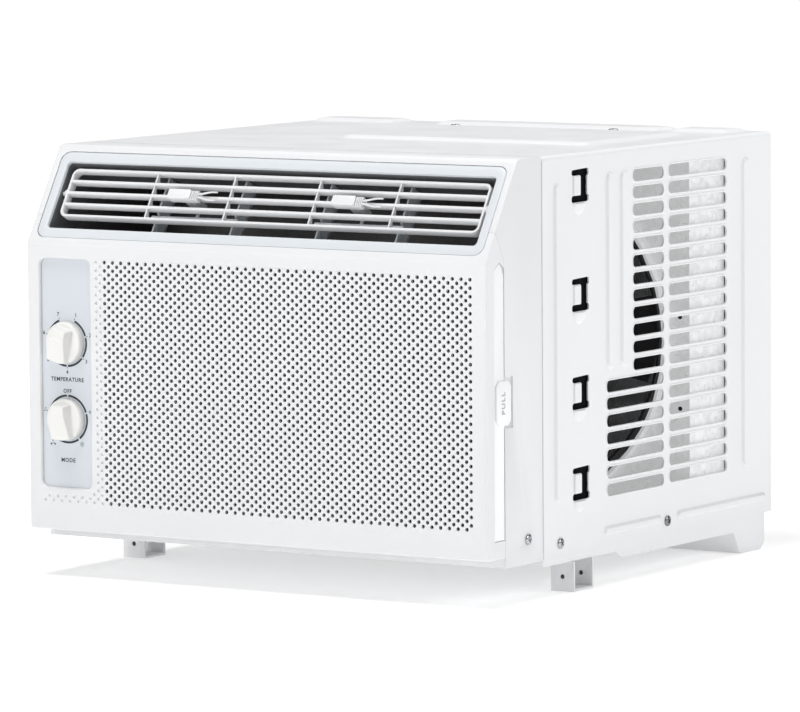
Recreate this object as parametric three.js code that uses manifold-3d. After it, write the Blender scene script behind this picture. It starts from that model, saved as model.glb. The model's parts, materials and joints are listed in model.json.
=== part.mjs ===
// A room window air conditioner: front moulding, outlet louvres, controls, slide-out filter,
// steel cabinet on a base pan, and the refrigeration and fan parts inside.
// Millimetres. +X is right seen from the front, +Y runs from the front face to the rear, +Z is up.
// The unit's parts are drawn from the bottom edge of the front face (y = 0, z = 0); the last group
// moves them so that the origin is the centre of the box's base.
import * as THREE from "three";
import { mergeVertices } from "three/addons/utils/BufferGeometryUtils.js";
import Module from "manifold-3d";

const wasm = await Module();
wasm.setup();

// ---- Driving dimensions -------------------------------------------------------------------
const width = 406;
const depth = 421; // front face to the cabinet's rear edge
const bodyTop = 288;
const standHeight = 36; // bottom edge of the front face above the feet
const foldHeight = 216.5; // where the front face leans back into the outlet face
const slopeRun = 44; // how far back the outlet face leans
const panelDepth = 77; // front moulding, front face to cabinet
const coverDepth = 24.6; // side depth of the removable front cover
const coverRimEnd = 24; // how far the cover reaches up the outlet face
const skirtDrop = 7.5; // front frame and cabinet edge below the front face
const wall = 2.5; // moulded plastic
const sheet = 1.2; // cabinet steel
const gap = 0.3; // between touching pieces
const knobProud = 13; // knob in front of the front face
const half = width / 2;

// Outlet face
const bezelHalf = 197.5;
const bezelLow = 5.2;
const bezelHigh = 78;
const mouthHalf = 190;
const mouthLow = 13.5;
const mouthHigh = 69.5;
const throatDepth = 36;
const louverHalf = 186;
const louverHeight = 41;
const louverDepth = 7;
const louverInset = 4;
const pivotAlong = (mouthLow + mouthHigh) / 2 + 4; // louvre pivot, up the slope
const pivotInset = louverInset + louverDepth / 2;
const ribPlaces = [-108, -38, 38, 108];
const tabPlace = 73;
const vaneFront = 19;
const vaneHinge = 31; // inset of the vane hinges
const vanePin = 21; // inset of the pins that the link pushes
const vaneBack = 34;
const linkDrop = 11; // link below the louvre pivot

// Controls
const recessLeft = -192;
const recessRight = -146.5;
const recessLow = 32.5;
const recessHigh = 205;
const knobX = -169.3;
const thermostatZ = 142;
const modeZ = 84.2;
const plateFace = 2.8; // control plate behind the front face
const knobRadius = 15.8;
const thermostatPointer = 217.7; // degrees anticlockwise from +X, seen from the front
const modePointer = 232.9;

// Filter
const filterFront = 10.6;
const filterRear = 24.2;
const filterLow = 13.4;
const filterHigh = 209.6;
const filterLeft = -126;
const pullLow = 96.8;
const pullHigh = 129.4;
const pullRear = 31.5;
const pocketRear = 36;
const pocketFloor = half - 9;

// Fans and refrigeration
const axisX = 46;
const axisZ = 135;
const shaftRadius = 4;
const wheelRadius = 62;
const wheelFront = 84;
const wheelRear = 146;
const fanRadius = 125;
const orificeRadius = 133.5;
const shroudFace = 298;
const bulkheadFace = 165;
const coilFront = 378;
const coilRear = 404;
const compressorX = -132;
const compressorY = 238;
const compressorRadius = 52;

// Base
const panHalf = half - sheet - gap;
const panWall = 1.5;
const panFront = 79;
const panRear = 410;
const panFloor = -18.5;
const footFront = 368;
const bracketInner = 183;
const bracketFront = 120.5;
const bracketRear = 149;

// ---- Materials ----------------------------------------------------------------------------
function finish(color, roughness, metalness) {
  return new THREE.MeshStandardMaterial({ color, roughness, metalness });
}
const whitePlastic = finish(0xf1f2f4, 0.45, 0);
const greyPlastic = finish(0xc6cdd3, 0.4, 0);
const panelPlastic = finish(0xe1e7ee, 0.35, 0);
const knobPlastic = finish(0xf6f6f4, 0.3, 0);
const filterPlastic = finish(0xeef0f2, 0.5, 0);
const filterNet = finish(0x9aa3aa, 0.8, 0);
const paintedSteel = finish(0xf0f1f3, 0.4, 0.1);
const galvanised = finish(0xb4b8ba, 0.4, 0.9);
const screwSteel = finish(0xd0d2d4, 0.2, 1);
const aluminiumFin = finish(0xc2c6c8, 0.4, 0.9);
const copper = finish(0xb4673d, 0.35, 1);
const blackPlastic = finish(0x161718, 0.5, 0);
const blackPaint = finish(0x1d1e20, 0.4, 0.2);
const rubber = finish(0x202122, 0.85, 0);
const foam = finish(0xf4f4f2, 0.9, 0);

// ---- Solids -------------------------------------------------------------------------------
function solid(geometry) {
  const bare = geometry.index ? geometry.toNonIndexed() : geometry.clone();
  bare.deleteAttribute("normal");
  bare.deleteAttribute("uv");
  const merged = mergeVertices(bare, 1e-4);
  return new wasm.Manifold(
    new wasm.Mesh({
      numProp: 3,
      vertProperties: merged.attributes.position.array,
      triVerts: new Uint32Array(merged.index.array),
    }),
  );
}

function geometryOf(body) {
  const mesh = body.getMesh();
  return new THREE.BufferGeometry()
    .setAttribute("position", new THREE.BufferAttribute(new Float32Array(mesh.vertProperties), 3))
    .setIndex(new THREE.BufferAttribute(new Uint32Array(mesh.triVerts), 1));
}

function joined(bodies) {
  return bodies.reduce((sum, body) => sum.add(body));
}

function cut(body, tools) {
  return tools.reduce((left, tool) => left.subtract(tool), body);
}

function box(x0, x1, y0, y1, z0, z1) {
  const shape = new THREE.BoxGeometry(x1 - x0, y1 - y0, z1 - z0);
  shape.translate((x0 + x1) / 2, (y0 + y1) / 2, (z0 + z1) / 2);
  return solid(shape);
}

function outline(points) {
  return new THREE.Shape(points.map(([u, v]) => new THREE.Vector2(u, v)));
}

function slab(shape, thickness, curveSegments) {
  return new THREE.ExtrudeGeometry(shape, { depth: thickness, bevelEnabled: false, curveSegments });
}

// Profile drawn in (y, z), drawn out along X from x0 to x1.
function alongX(points, x0, x1) {
  const shape = slab(outline(points), x1 - x0, 6);
  const turn = new THREE.Matrix4().makeBasis(
    new THREE.Vector3(0, 1, 0),
    new THREE.Vector3(0, 0, 1),
    new THREE.Vector3(1, 0, 0),
  );
  return solid(shape.applyMatrix4(turn).translate(x0, 0, 0));
}

// Outline drawn in (x, z), drawn out along Y from y0 to y1.
function alongY(shape, y0, y1, curveSegments = 6) {
  return solid(slab(shape, y1 - y0, curveSegments).rotateX(Math.PI / 2).translate(0, y1, 0));
}

// Outline drawn in (x, y), drawn out along Z from z0 to z1.
function alongZ(shape, z0, z1, curveSegments = 6) {
  return solid(slab(shape, z1 - z0, curveSegments).translate(0, 0, z0));
}

function rectangle(u0, u1, v0, v1) {
  return outline([
    [u0, v0],
    [u1, v0],
    [u1, v1],
    [u0, v1],
  ]);
}

function roundedRect(u0, u1, v0, v1, radius) {
  const shape = new THREE.Shape();
  shape.moveTo(u0 + radius, v0);
  shape.lineTo(u1 - radius, v0);
  shape.absarc(u1 - radius, v0 + radius, radius, -Math.PI / 2, 0);
  shape.lineTo(u1, v1 - radius);
  shape.absarc(u1 - radius, v1 - radius, radius, 0, Math.PI / 2);
  shape.lineTo(u0 + radius, v1);
  shape.absarc(u0 + radius, v1 - radius, radius, Math.PI / 2, Math.PI);
  shape.lineTo(u0, v0 + radius);
  shape.absarc(u0 + radius, v0 + radius, radius, Math.PI, 1.5 * Math.PI);
  return shape;
}

// A round bar between two places on one axis; axis is "x", "y" or "z".
function bar(axis, radius, from, to, u, v, sides = 16) {
  const shape = new THREE.CylinderGeometry(radius, radius, to - from, sides);
  const middle = (from + to) / 2;
  if (axis === "x") return solid(shape.rotateZ(Math.PI / 2).translate(middle, u, v));
  if (axis === "y") return solid(shape.translate(u, middle, v));
  return solid(shape.rotateX(Math.PI / 2).translate(u, v, middle));
}

// A turned piece: profile is (radius, place along the axis).
function turned(profile, sides) {
  return new THREE.LatheGeometry(profile.map(([r, h]) => new THREE.Vector2(r, h)), sides);
}

function pipe(points, radius, steps, sides = 6) {
  const path = new THREE.CatmullRomCurve3(points.map((p) => new THREE.Vector3(...p)));
  const section = new THREE.Shape();
  section.absarc(0, 0, radius, 0, 2 * Math.PI);
  const shape = new THREE.ExtrudeGeometry(section, {
    steps,
    extrudePath: path,
    curveSegments: Math.ceil(sides / 2),
    bevelEnabled: false,
  });
  return solid(shape);
}

// Moves each side of a counter-clockwise outline inwards by `by`.
function inset(points, by) {
  const count = points.length;
  const sides = points.map(([u, v], i) => {
    const [un, vn] = points[(i + 1) % count];
    const length = Math.hypot(un - u, vn - v);
    const normal = [-(vn - v) / length, (un - u) / length];
    return { normal, reach: normal[0] * u + normal[1] * v + by };
  });
  return points.map((_, i) => {
    const a = sides[(i + count - 1) % count];
    const b = sides[i];
    const det = a.normal[0] * b.normal[1] - a.normal[1] * b.normal[0];
    return [
      (a.reach * b.normal[1] - b.reach * a.normal[1]) / det,
      (a.normal[0] * b.reach - b.normal[0] * a.reach) / det,
    ];
  });
}

const unit = new THREE.Group();
unit.position.set(0, -(depth - knobProud) / 2, standHeight);

function part(name, body, material, group = unit) {
  const mesh = new THREE.Mesh(geometryOf(body), material);
  mesh.name = name;
  group.add(mesh);
  return mesh;
}

function placed(x, y, z) {
  const group = new THREE.Group();
  group.position.set(x, y, z);
  unit.add(group);
  return group;
}

// ---- The outlet face's own frame ----------------------------------------------------------
// x across, y up the slope from the fold, z outwards, so an inset is a negative z.
const slopeLength = Math.hypot(slopeRun, bodyTop - foldHeight);
const slopeUp = new THREE.Vector3(0, slopeRun, bodyTop - foldHeight).divideScalar(slopeLength);
const slopeOut = new THREE.Vector3(0, -slopeUp.z, slopeUp.y);
const slope = new THREE.Group();
slope.position.set(0, 0, foldHeight);
slope.rotation.x = Math.atan2(slopeUp.z, slopeUp.y);
unit.add(slope);

// The (y, z) place of a point `up` the slope and `deep` below its surface.
function onSlope(up, deep) {
  return [
    up * slopeUp.y - deep * slopeOut.y,
    foldHeight + up * slopeUp.z - deep * slopeOut.z,
  ];
}

function sloped(shape, deepTop, deepBottom, curveSegments = 4) {
  return solid(slab(shape, deepBottom - deepTop, curveSegments).translate(0, 0, -deepBottom));
}

function slopedToUnit(geometryBody) {
  const shape = geometryOf(geometryBody);
  const turn = new THREE.Matrix4().makeBasis(new THREE.Vector3(1, 0, 0), slopeUp, slopeOut);
  return solid(shape.applyMatrix4(turn).translate(0, 0, foldHeight));
}

// ---- Front moulding -----------------------------------------------------------------------
const frontProfile = [
  [0, 0],
  [coverDepth + 0.6, 0],
  [coverDepth + 0.6, -skirtDrop],
  [panelDepth, -skirtDrop],
  [panelDepth, bodyTop],
  [slopeRun + 2, bodyTop],
  onSlope(slopeLength - 2, 0),
  onSlope(1.5, 0),
  [0, foldHeight - 1.5],
];
const rearCorners = [3, 4];
const frontInside = inset(frontProfile, wall).map(([y, z], i) => [
  rearCorners.includes(i) ? panelDepth + 5 : y,
  z,
]);

function frontShell() {
  const outer = alongX(frontProfile, -half, half);
  const inner = alongX(frontInside, -half + wall, half - wall);
  const mouth = slopedToUnit(
    sloped(roundedRect(-bezelHalf - gap, bezelHalf + gap, bezelLow - gap, bezelHigh + gap, 8), -5, 12),
  );
  return cut(outer, [inner, mouth]);
}

// What the removable cover takes of the shell: the front, its side returns and the rim's foot.
function coverRegion(grow) {
  const seamTop = onSlope(coverRimEnd + grow, 0);
  const seamFoot = [coverDepth + grow, foldHeight];
  const beyond = [2 * seamTop[0] - seamFoot[0], 2 * seamTop[1] - seamFoot[1]];
  return alongX(
    [
      [-5, -0.1 - grow],
      [coverDepth + grow, -0.1 - grow],
      seamFoot,
      beyond,
      [-5, beyond[1]],
    ],
    -half - 1,
    half + 1,
  );
}

// Slot in the right side return that the filter slides through.
function filterSlot() {
  const profile = [
    [filterFront - gap, filterLow - gap],
    [coverDepth + 2, filterLow - gap],
    [coverDepth + 2, filterHigh + gap],
    [filterFront + 8, filterHigh + 6],
    [filterFront - gap, filterHigh + gap],
  ];
  return alongX(profile, half - wall - 1, half + 1);
}

function frontCover() {
  const opening = alongY(roundedRect(recessLeft, recessRight, recessLow, recessHigh, 4), -1, wall + 1);
  return cut(frontShell().intersect(coverRegion(0)), [opening, filterSlot()]);
}

function frontFrame() {
  const pocketWall = box(
    pocketFloor - wall,
    half,
    coverDepth + gap,
    pocketRear + wall,
    pullLow - 5,
    pullHigh + 5,
  );
  const pocket = box(pocketFloor, half + 1, coverDepth - 1, pocketRear, pullLow - 2.5, pullHigh + 2.5);
  const body = frontShell().subtract(coverRegion(gap)).add(pocketWall);
  const screwHoles = [-1, 1].map((side) => sideHole(side, frontScrew));
  const glandHole = bar("x", glandRadius + gap, -half - 1, -half + wall + 1, glandPlace[0], glandPlace[1]);
  return cut(body, [pocket, glandHole, ...screwHoles]);
}

// ---- Fasteners ----------------------------------------------------------------------------
const frontScrew = [56, 10.5];
const cabinetScrews = { front: [101.3, 2.5], rear: [257.5, 2.3] };
const topScrews = { left: [-52, 366], right: [91, 369] };
const screwShank = 1.9;
const headRadius = 4.1;
const headHeight = 2.2;
const glandRadius = 6.5;
const glandPlace = [58, 40];

function sideHole(side, [y, z]) {
  const inner = side * (half - 8);
  const outer = side * (half + 1);
  return bar("x", screwShank + gap, Math.min(inner, outer), Math.max(inner, outer), y, z, 12);
}

// A pan-head screw standing on z = 0 with its head up and a cross recess in the head.
function screw() {
  const body = solid(
    turned(
      [
        [0, -7],
        [screwShank, -7],
        [screwShank, 0],
        [headRadius, 0],
        [headRadius, headHeight * 0.55],
        [headRadius * 0.62, headHeight],
        [0, headHeight],
      ],
      10,
    ).rotateX(Math.PI / 2),
  );
  const recess = joined([
    box(-2.2, 2.2, -0.45, 0.45, headHeight - 1.1, headHeight + 1),
    box(-0.45, 0.45, -2.2, 2.2, headHeight - 1.1, headHeight + 1),
  ]);
  return body.subtract(recess);
}

function addScrew(name, x, y, z, turnY) {
  const seat = placed(x, y, z);
  seat.rotation.y = turnY;
  part(name, screw(), screwSteel, seat);
}

function addFasteners() {
  [-1, 1].forEach((side) => {
    const hand = side < 0 ? "left" : "right";
    const face = side * (half + gap / 3);
    const turn = (side * Math.PI) / 2;
    addScrew("screw_front_" + hand, face, ...frontScrew, turn);
    Object.entries(cabinetScrews).forEach(([place, at]) => {
      addScrew("screw_cabinet_" + place + "_" + hand, face, ...at, turn);
    });
    addScrew("screw_top_" + hand, ...topScrews[hand], bodyTop + gap / 3, 0);
  });
}

// ---- Outlet: bezel, louvre, tabs, vanes ---------------------------------------------------
function outletBezel() {
  const flange = sloped(roundedRect(-bezelHalf, bezelHalf, bezelLow, bezelHigh, 8), 0, 3);
  const tunnelOutline = roundedRect(-mouthHalf - wall, mouthHalf + wall, mouthLow - wall, mouthHigh + wall, 3);
  const tunnel = sloped(tunnelOutline, 2, throatDepth);
  const mouth = sloped(roundedRect(-mouthHalf, mouthHalf, mouthLow, mouthHigh, 2), -1, throatDepth + 1);
  const sockets = bar("x", 2.2, -mouthHalf - wall - 1, mouthHalf + wall + 1, pivotAlong, -pivotInset, 12);
  const hinges = ribPlaces.map((x) => bar("y", 1.4, mouthLow - 2, mouthHigh + 2, x, -vaneHinge, 8));
  return cut(flange.add(tunnel), [mouth, sockets, ...hinges]);
}

// Five deep bars and four ribs in a thin frame, with a pin at each end.
function airLouver() {
  const low = pivotAlong - louverHeight / 2;
  const high = pivotAlong + louverHeight / 2;
  const top = louverInset;
  const bottom = louverInset + louverDepth;
  const barHeight = 2.4;
  const pitch = (louverHeight - barHeight) / 4;
  const frame = sloped(roundedRect(-louverHalf, louverHalf, low, high, 4), top, bottom);
  const windows = [0, 1, 2, 3].map((i) => {
    const v = low + barHeight + i * pitch;
    const window = rectangle(-louverHalf + 2.4, louverHalf - 2.4, v, v + pitch - barHeight);
    return sloped(window, top - 1, bottom + 1, 1);
  });
  const ribs = ribPlaces.map((x) =>
    sloped(rectangle(x - 0.9, x + 0.9, low + 1, high - 1), top + 0.6, bottom, 1),
  );
  const pins = [-1, 1].map((side) =>
    side < 0
      ? bar("x", 1.8, -mouthHalf - 1.6, -louverHalf + 1, pivotAlong, -pivotInset, 12)
      : bar("x", 1.8, louverHalf - 1, mouthHalf + 1.6, pivotAlong, -pivotInset, 12),
  );
  return joined([cut(frame, windows), ...ribs, ...pins]);
}

// A grip that slides on the louvre's middle bar, with a fork that reaches back to the link's peg.
function vaneTab(side) {
  const middle = side * tabPlace;
  const low = pivotAlong;
  const blockOutline = roundedRect(middle - 17, middle + 3, low - 3.9, low + 3.9, 1.5);
  const block = sloped(blockOutline, -0.6, louverInset + 2.4, 3);
  const stem = sloped(rectangle(middle - 9, middle + 9, low - 3.9, low + 3.9), 1.4, louverInset + 2.4, 1);
  const jaws = [-1, 1].map((edge) =>
    sloped(
      rectangle(middle - 4, middle + 4, low + edge * 2.7 - 1.1, low + edge * 2.7 + 1.1),
      louverInset,
      louverInset + louverDepth + 3.6,
      1,
    ),
  );
  const prongs = [-1, 1].map((edge) =>
    sloped(
      rectangle(middle + edge * 3 - 1, middle + edge * 3 + 1, low - 2.6, low + 2.6),
      louverInset + louverDepth + 1,
      vanePin + 2,
      1,
    ),
  );
  const rail = sloped(
    rectangle(middle - 20, middle + 20, low - 1.5, low + 1.5),
    louverInset - gap,
    louverInset + louverDepth + gap,
    1,
  );
  return joined([block, stem, ...jaws, ...prongs]).subtract(rail);
}

// A strip that joins a pair of vanes at their pins and carries the peg that the fork holds.
function vaneLink(side) {
  const [inner, outer] = side < 0 ? [ribPlaces[1], ribPlaces[0]] : [ribPlaces[2], ribPlaces[3]];
  const low = Math.min(inner, outer);
  const high = Math.max(inner, outer);
  const level = pivotAlong - linkDrop;
  const strip = sloped(rectangle(low - 4, high + 4, level - 1, level + 1), vanePin - 3.4, vanePin + 3, 1);
  const notches = [inner, outer].map((x) =>
    sloped(rectangle(x - 1.2, x + 1.2, level - 2, level + 2), vanePin - 1.1, vanePin + 4, 1),
  );
  const peg = bar("y", 1.4, level, pivotAlong + 6, side * tabPlace, -(vanePin - 0.4), 10);
  return cut(strip, notches).add(peg);
}

// An upright vane with hinge pins at its ends and a notch that bares a pin for the link.
function vane(x) {
  const low = mouthLow + 0.8;
  const high = mouthHigh - 0.8;
  const notch = pivotAlong - linkDrop;
  const blade = sloped(rectangle(x - 0.7, x + 0.7, low, high), vaneFront, vaneBack, 1);
  const hinge = bar("y", 1.05, mouthLow - 1.8, mouthHigh + 1.8, x, -vaneHinge, 8);
  const window = box(x - 2, x + 2, notch - 3, notch + 3, -(vanePin + 3.4), -(vaneFront - 1));
  const pin = bar("y", 0.8, notch - 4, notch + 4, x, -vanePin, 8);
  return blade.subtract(window).add(hinge).add(pin);
}

function addOutlet() {
  part("outlet_bezel", outletBezel(), greyPlastic, slope);
  part("air_louver", airLouver(), whitePlastic, slope);
  [-1, 1].forEach((side) => {
    const hand = side < 0 ? "left" : "right";
    part("vane_tab_" + hand, vaneTab(side), whitePlastic, slope);
    part("vane_link_" + hand, vaneLink(side), greyPlastic, slope);
  });
  ["vane_outer_left", "vane_inner_left", "vane_inner_right", "vane_outer_right"].forEach((name, i) => {
    part(name, vane(ribPlaces[i]), greyPlastic, slope);
  });
}

// ---- Controls -----------------------------------------------------------------------------
function controlPlate() {
  const edge = roundedRect(recessLeft - 5, recessRight + 5, recessLow - 5, recessHigh + 5, 4);
  const plate = alongY(edge, plateFace, plateFace + 2.2);
  const holes = [thermostatZ, modeZ].map((z) => bar("y", 3.6, 0, 8, knobX, z));
  return cut(plate, holes);
}

// Drawn with its axis on y and its grip along +X; the group turns the grip to its mark.
function knob() {
  const skirt = bar("y", knobRadius, -4.4, 2.5, 0, 0, 24);
  const cap = bar("y", knobRadius - 1.2, -5.4, 2.5, 0, 0, 24);
  const grip = [
    [-5.2, -4],
    [-3.6, -knobProud],
    [3.6, -knobProud],
    [5.2, -4],
  ];
  const length = knobRadius - 0.6;
  const ridge = solid(
    slab(outline(grip), 2 * length, 1)
      .applyMatrix4(
        new THREE.Matrix4().makeBasis(
          new THREE.Vector3(0, 0, 1),
          new THREE.Vector3(0, 1, 0),
          new THREE.Vector3(-1, 0, 0),
        ),
      )
      .translate(length, 0, 0),
  );
  return joined([skirt, cap, ridge.intersect(bar("y", knobRadius - 0.4, -knobProud - 1, 2, 0, 0, 24))]);
}

function addKnob(name, z, pointer) {
  const seat = placed(knobX, 0, z);
  seat.rotation.y = (-pointer * Math.PI) / 180;
  part(name, knob(), knobPlastic, seat);
}

function controlBox() {
  const outer = box(-197, -148, 8, 72, 30, 206);
  const inner = box(-195.5, -149.5, 6, 70.5, 31.5, 204.5);
  const bulbHole = box(-151, -147, 12, 22, 174, 184);
  return cut(outer, [inner, bulbHole]);
}

function rotarySwitch(z, bodyDepth, bodyHalf) {
  const body = box(knobX - bodyHalf, knobX + bodyHalf, 10, 10 + bodyDepth, z - bodyHalf, z + bodyHalf);
  const collar = bar("y", 6, 5.5, 11, knobX, z);
  const shaft = bar("y", 3, plateFace, 8, knobX, z, 12);
  return joined([body, collar, shaft]);
}

function addControls() {
  part("control_plate", controlPlate(), panelPlastic);
  addKnob("knob_temperature", thermostatZ, thermostatPointer);
  addKnob("knob_mode", modeZ, modePointer);
  part("control_box", controlBox(), galvanised);
  part("thermostat", rotarySwitch(thermostatZ, 26, 17), blackPlastic);
  part("mode_switch", rotarySwitch(modeZ, 34, 15), whitePlastic);
  const can = alongY(roundedRect(knobX - 18, knobX + 18, 36, 62, 12), 24, 68, 4);
  part("run_capacitor", can, galvanised);
  const bulb = bar("x", 3, -110, -30, 25.8, 112, 8);
  const capillary = pipe(
    [
      [-112, 25.8, 112],
      [-122, 25.8, 118],
      [-133, 24, 138],
      [-139, 20, 166],
      [-149, 17, 179],
      [-157, 18, 174],
      [-160, 22, 160.5],
    ],
    1.1,
    20,
  );
  part("thermostat_bulb", bulb.add(bar("x", 2, -114, -109, 25.8, 112, 8)), copper);
  part("thermostat_capillary", capillary.subtract(bar("x", 2 + gap, -130, -109, 25.8, 112, 8)), copper);
}

// ---- Filter -------------------------------------------------------------------------------
function filterFrame() {
  const back = 20;
  const front = 15;
  const high = filterHigh - 2;
  const outer = box(filterLeft, half - 2, front, back, filterLow + 2, high);
  const columns = 5;
  const rows = 3;
  const pitchX = (half - 2 - filterLeft - 4) / columns;
  const pitchZ = (high - filterLow - 6) / rows;
  const windows = [];
  for (let i = 0; i < columns; i++) {
    for (let j = 0; j < rows; j++) {
      const x = filterLeft + 4 + i * pitchX;
      const z = filterLow + 6 + j * pitchZ;
      windows.push(box(x, x + pitchX - 4, front - 1, back + 1, z, z + pitchZ - 4));
    }
  }
  const meshSeat = box(filterLeft + 2, half - 6, front - 1, front + 1.6, filterLow + 4, high - 2);
  const edge = alongX(
    [
      [filterFront, filterLow],
      [filterRear, filterLow],
      [filterRear, filterHigh - 4],
      [filterFront + 8, filterHigh + 5],
      [filterFront, filterHigh],
    ],
    half - 4,
    half - 0.2,
  );
  const pull = alongX(
    [
      [filterFront + 1, pullLow + 4],
      [filterFront + 5, pullLow],
      [pullRear - 4, pullLow],
      [pullRear, pullLow + 4],
      [pullRear, pullHigh - 4],
      [pullRear - 4, pullHigh],
      [filterFront + 5, pullHigh],
      [filterFront + 1, pullHigh - 4],
    ],
    half - 2.4,
    half + 1.4,
  );
  return joined([cut(outer, [...windows, meshSeat]), edge, pull]);
}

function addFilter() {
  part("filter_frame", filterFrame(), filterPlastic);
  const net = box(
    filterLeft + 2 + gap,
    half - 6 - gap,
    15.2,
    16.3,
    filterLow + 4 + gap,
    filterHigh - 4 - gap,
  );
  part("filter_mesh", net, filterNet);
}

// ---- Cabinet and base ---------------------------------------------------------------------
const slotHeight = 8.8;
const slotPitch = 12.87;
const slotTop = 271.6;
const slotColumns = [
  { from: 261, to: 349, first: 0, count: 19, lift: 0 },
  { from: 208, to: 253.5, first: 0, count: 12, lift: -0.6 },
  { from: 169, to: 252.5, first: 12, count: 7, lift: -1 },
];

function sideSlots() {
  const tools = [];
  slotColumns.forEach(({ from, to, first, count, lift }) => {
    for (let i = first; i < first + count; i++) {
      const high = slotTop + lift - i * slotPitch;
      tools.push(box(-half - 1, half + 1, from, to, high - slotHeight, high));
    }
  });
  return tools;
}

const bracketSlotTops = [276.3, 196, 123.5, 56.3];

// Openings for the side curtain's clips: an I-shaped slot at each place.
function clipSlots() {
  return bracketSlotTops.flatMap((top) => [
    box(-half - 1, half + 1, 120, 143, top - 4.2, top),
    box(-half - 1, half + 1, 131.5, 140.5, top - 20.5, top - 4),
    box(-half - 1, half + 1, 120, 143, top - 24.6, top - 20.4),
  ]);
}

// Pressed-up panels of the roof: x from, x to, y from, y to.
const padHeight = 2.4;
const roofPads = [
  [-57, 165, 205, 352],
  [-half + 4, -123, 384, 418],
  [-84, 120, 384, 418],
  [131, 182, 384, 418],
];

// Pressed-out stiffening ribs of each side: y from, y to, z from, z to.
const ribHeight = 1;
const sideRibs = [
  [93.3, 103.2, 32.4, 267.6],
  [168.2, 181.3, 124.4, 271.3],
  [188.6, 201.8, 124.2, 271.3],
  [371.8, 386.6, 30, 270.3],
  [164, 249, 2, 9],
  [272, 408.7, 2, 9],
];

function pressings(thickness) {
  const pads = roofPads.map(([x0, x1, y0, y1]) => {
    const inner = sheet - thickness;
    const top = bodyTop + padHeight - inner;
    return box(x0 + inner, x1 - inner, y0 + inner, y1 - inner, bodyTop - sheet - 1, top);
  });
  const ribs = sideRibs.map(([y0, y1, z0, z1]) => {
    const inner = sheet - thickness;
    const reach = half + ribHeight - inner;
    return box(-reach, reach, y0 + inner, y1 - inner, z0 + inner, z1 - inner);
  });
  return joined([...pads, ...ribs]);
}

function cabinetWrap() {
  const front = panelDepth + gap;
  const shell = box(-half, half, front, depth, -skirtDrop, bodyTop).add(pressings(sheet));
  const hollow = box(-half + sheet, half - sheet, front - 1, depth - sheet, -skirtDrop - 1, bodyTop - sheet).add(
    pressings(0),
  );
  const rearOpening = box(-half + 14, half - 14, depth - sheet - 1, depth + 1, -skirtDrop - 1, bodyTop - 14);
  const screws = [-1, 1].flatMap((side) => Object.values(cabinetScrews).map((at) => sideHole(side, at)));
  const topHoles = Object.values(topScrews).map(([x, y]) =>
    bar("z", screwShank + gap, bodyTop - 8, bodyTop + 1, x, y, 12),
  );
  return cut(shell, [hollow, rearOpening, ...sideSlots(), ...clipSlots(), ...screws, ...topHoles]);
}

const panProfile = [
  [panFront, -13],
  [184, -13],
  [192, panFloor],
  [footFront - 6, panFloor],
  [footFront + 3, 2 - standHeight],
  [footFront + 6, -standHeight],
  [panRear - 6, -standHeight],
  [panRear, 6 - standHeight],
  [panRear, 12],
  [panFront, 12],
];

function basePan() {
  const outer = alongX(panProfile, -panHalf, panHalf);
  const inner = alongX(
    inset(panProfile, panWall).map(([y, z]) => [y, z > 5 ? 20 : z]),
    -panHalf + panWall,
    panHalf - panWall,
  );
  const screws = [-1, 1].flatMap((side) => Object.values(cabinetScrews).map((at) => sideHole(side, at)));
  return cut(outer, [inner, ...screws]);
}

// A channel under the pan, open to the sides, that rests on the window sill.
function frontBracket() {
  const length = half - bracketInner;
  const top = -13 - gap;
  const outer = box(0, length, bracketFront, bracketRear, -standHeight, top);
  const hollow = box(-1, length + 1, bracketFront + 2, bracketRear - 2, -standHeight + 2, top + 1);
  const holes = bar("y", 1.8, bracketFront - 1, bracketRear + 1, length / 2, -25, 10);
  return cut(outer, [hollow, holes]);
}

function addCase() {
  part("front_cover", frontCover(), whitePlastic);
  part("front_frame", frontFrame(), whitePlastic);
  part("cabinet_wrap", cabinetWrap(), paintedSteel);
  part("base_pan", basePan(), paintedSteel);
  part("front_bracket_left", frontBracket(), paintedSteel, placed(-half, 0, 0));
  part("front_bracket_right", frontBracket(), paintedSteel, placed(bracketInner, 0, 0));
  const ring = turned(
    [
      [3.5, -3.2],
      [glandRadius, -3.2],
      [glandRadius, -0.2],
      [glandRadius + 2, -0.2],
      [glandRadius + 2, 1.8],
      [3.5, 1.8],
      [3.5, -3.2],
    ],
    16,
  ).rotateX(Math.PI / 2);
  const seat = placed(-half - 0.4, ...glandPlace);
  seat.rotation.y = -Math.PI / 2;
  part("cord_gland", solid(ring), rubber, seat);
}

// ---- Room-side air path -------------------------------------------------------------------
const ductLow = 209.3;
const ductRear = 158;

function airDuct() {
  const [yLow, zLow] = onSlope(mouthLow - wall, throatDepth + gap);
  const [yHigh, zHigh] = onSlope(mouthHigh + wall, throatDepth + gap);
  const profile = [
    [yLow, zLow],
    [scrollFront - 18, zLow],
    [scrollFront - 4, ductLow],
    [ductRear, ductLow],
    [ductRear, bodyTop - 4],
    [yHigh + 14, bodyTop - 4],
    [yHigh, zHigh],
  ];
  const outer = alongX(profile, -mouthHalf - wall, mouthHalf + wall);
  const inside = inset(profile, 3);
  inside[0] = onSlope(mouthLow, throatDepth - 4);
  inside[6] = onSlope(mouthHigh, throatDepth - 4);
  const inner = alongX(inside, -mouthHalf, mouthHalf);
  const throat = box(throatLeft + 3, throatRight - 3, wheelFront - 3, wheelRear + 3, ductLow - 1, ductLow + 5);
  return cut(outer, [inner, throat]);
}

const scrollStart = 68;
const scrollEnd = 98;
const tongueAngle = (50 * Math.PI) / 180;
const throatLeft = axisX + scrollStart * Math.cos(tongueAngle);
const throatRight = axisX + scrollEnd;
const scrollFront = wheelFront - 6;
const scrollRear = wheelRear + 6;

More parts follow.
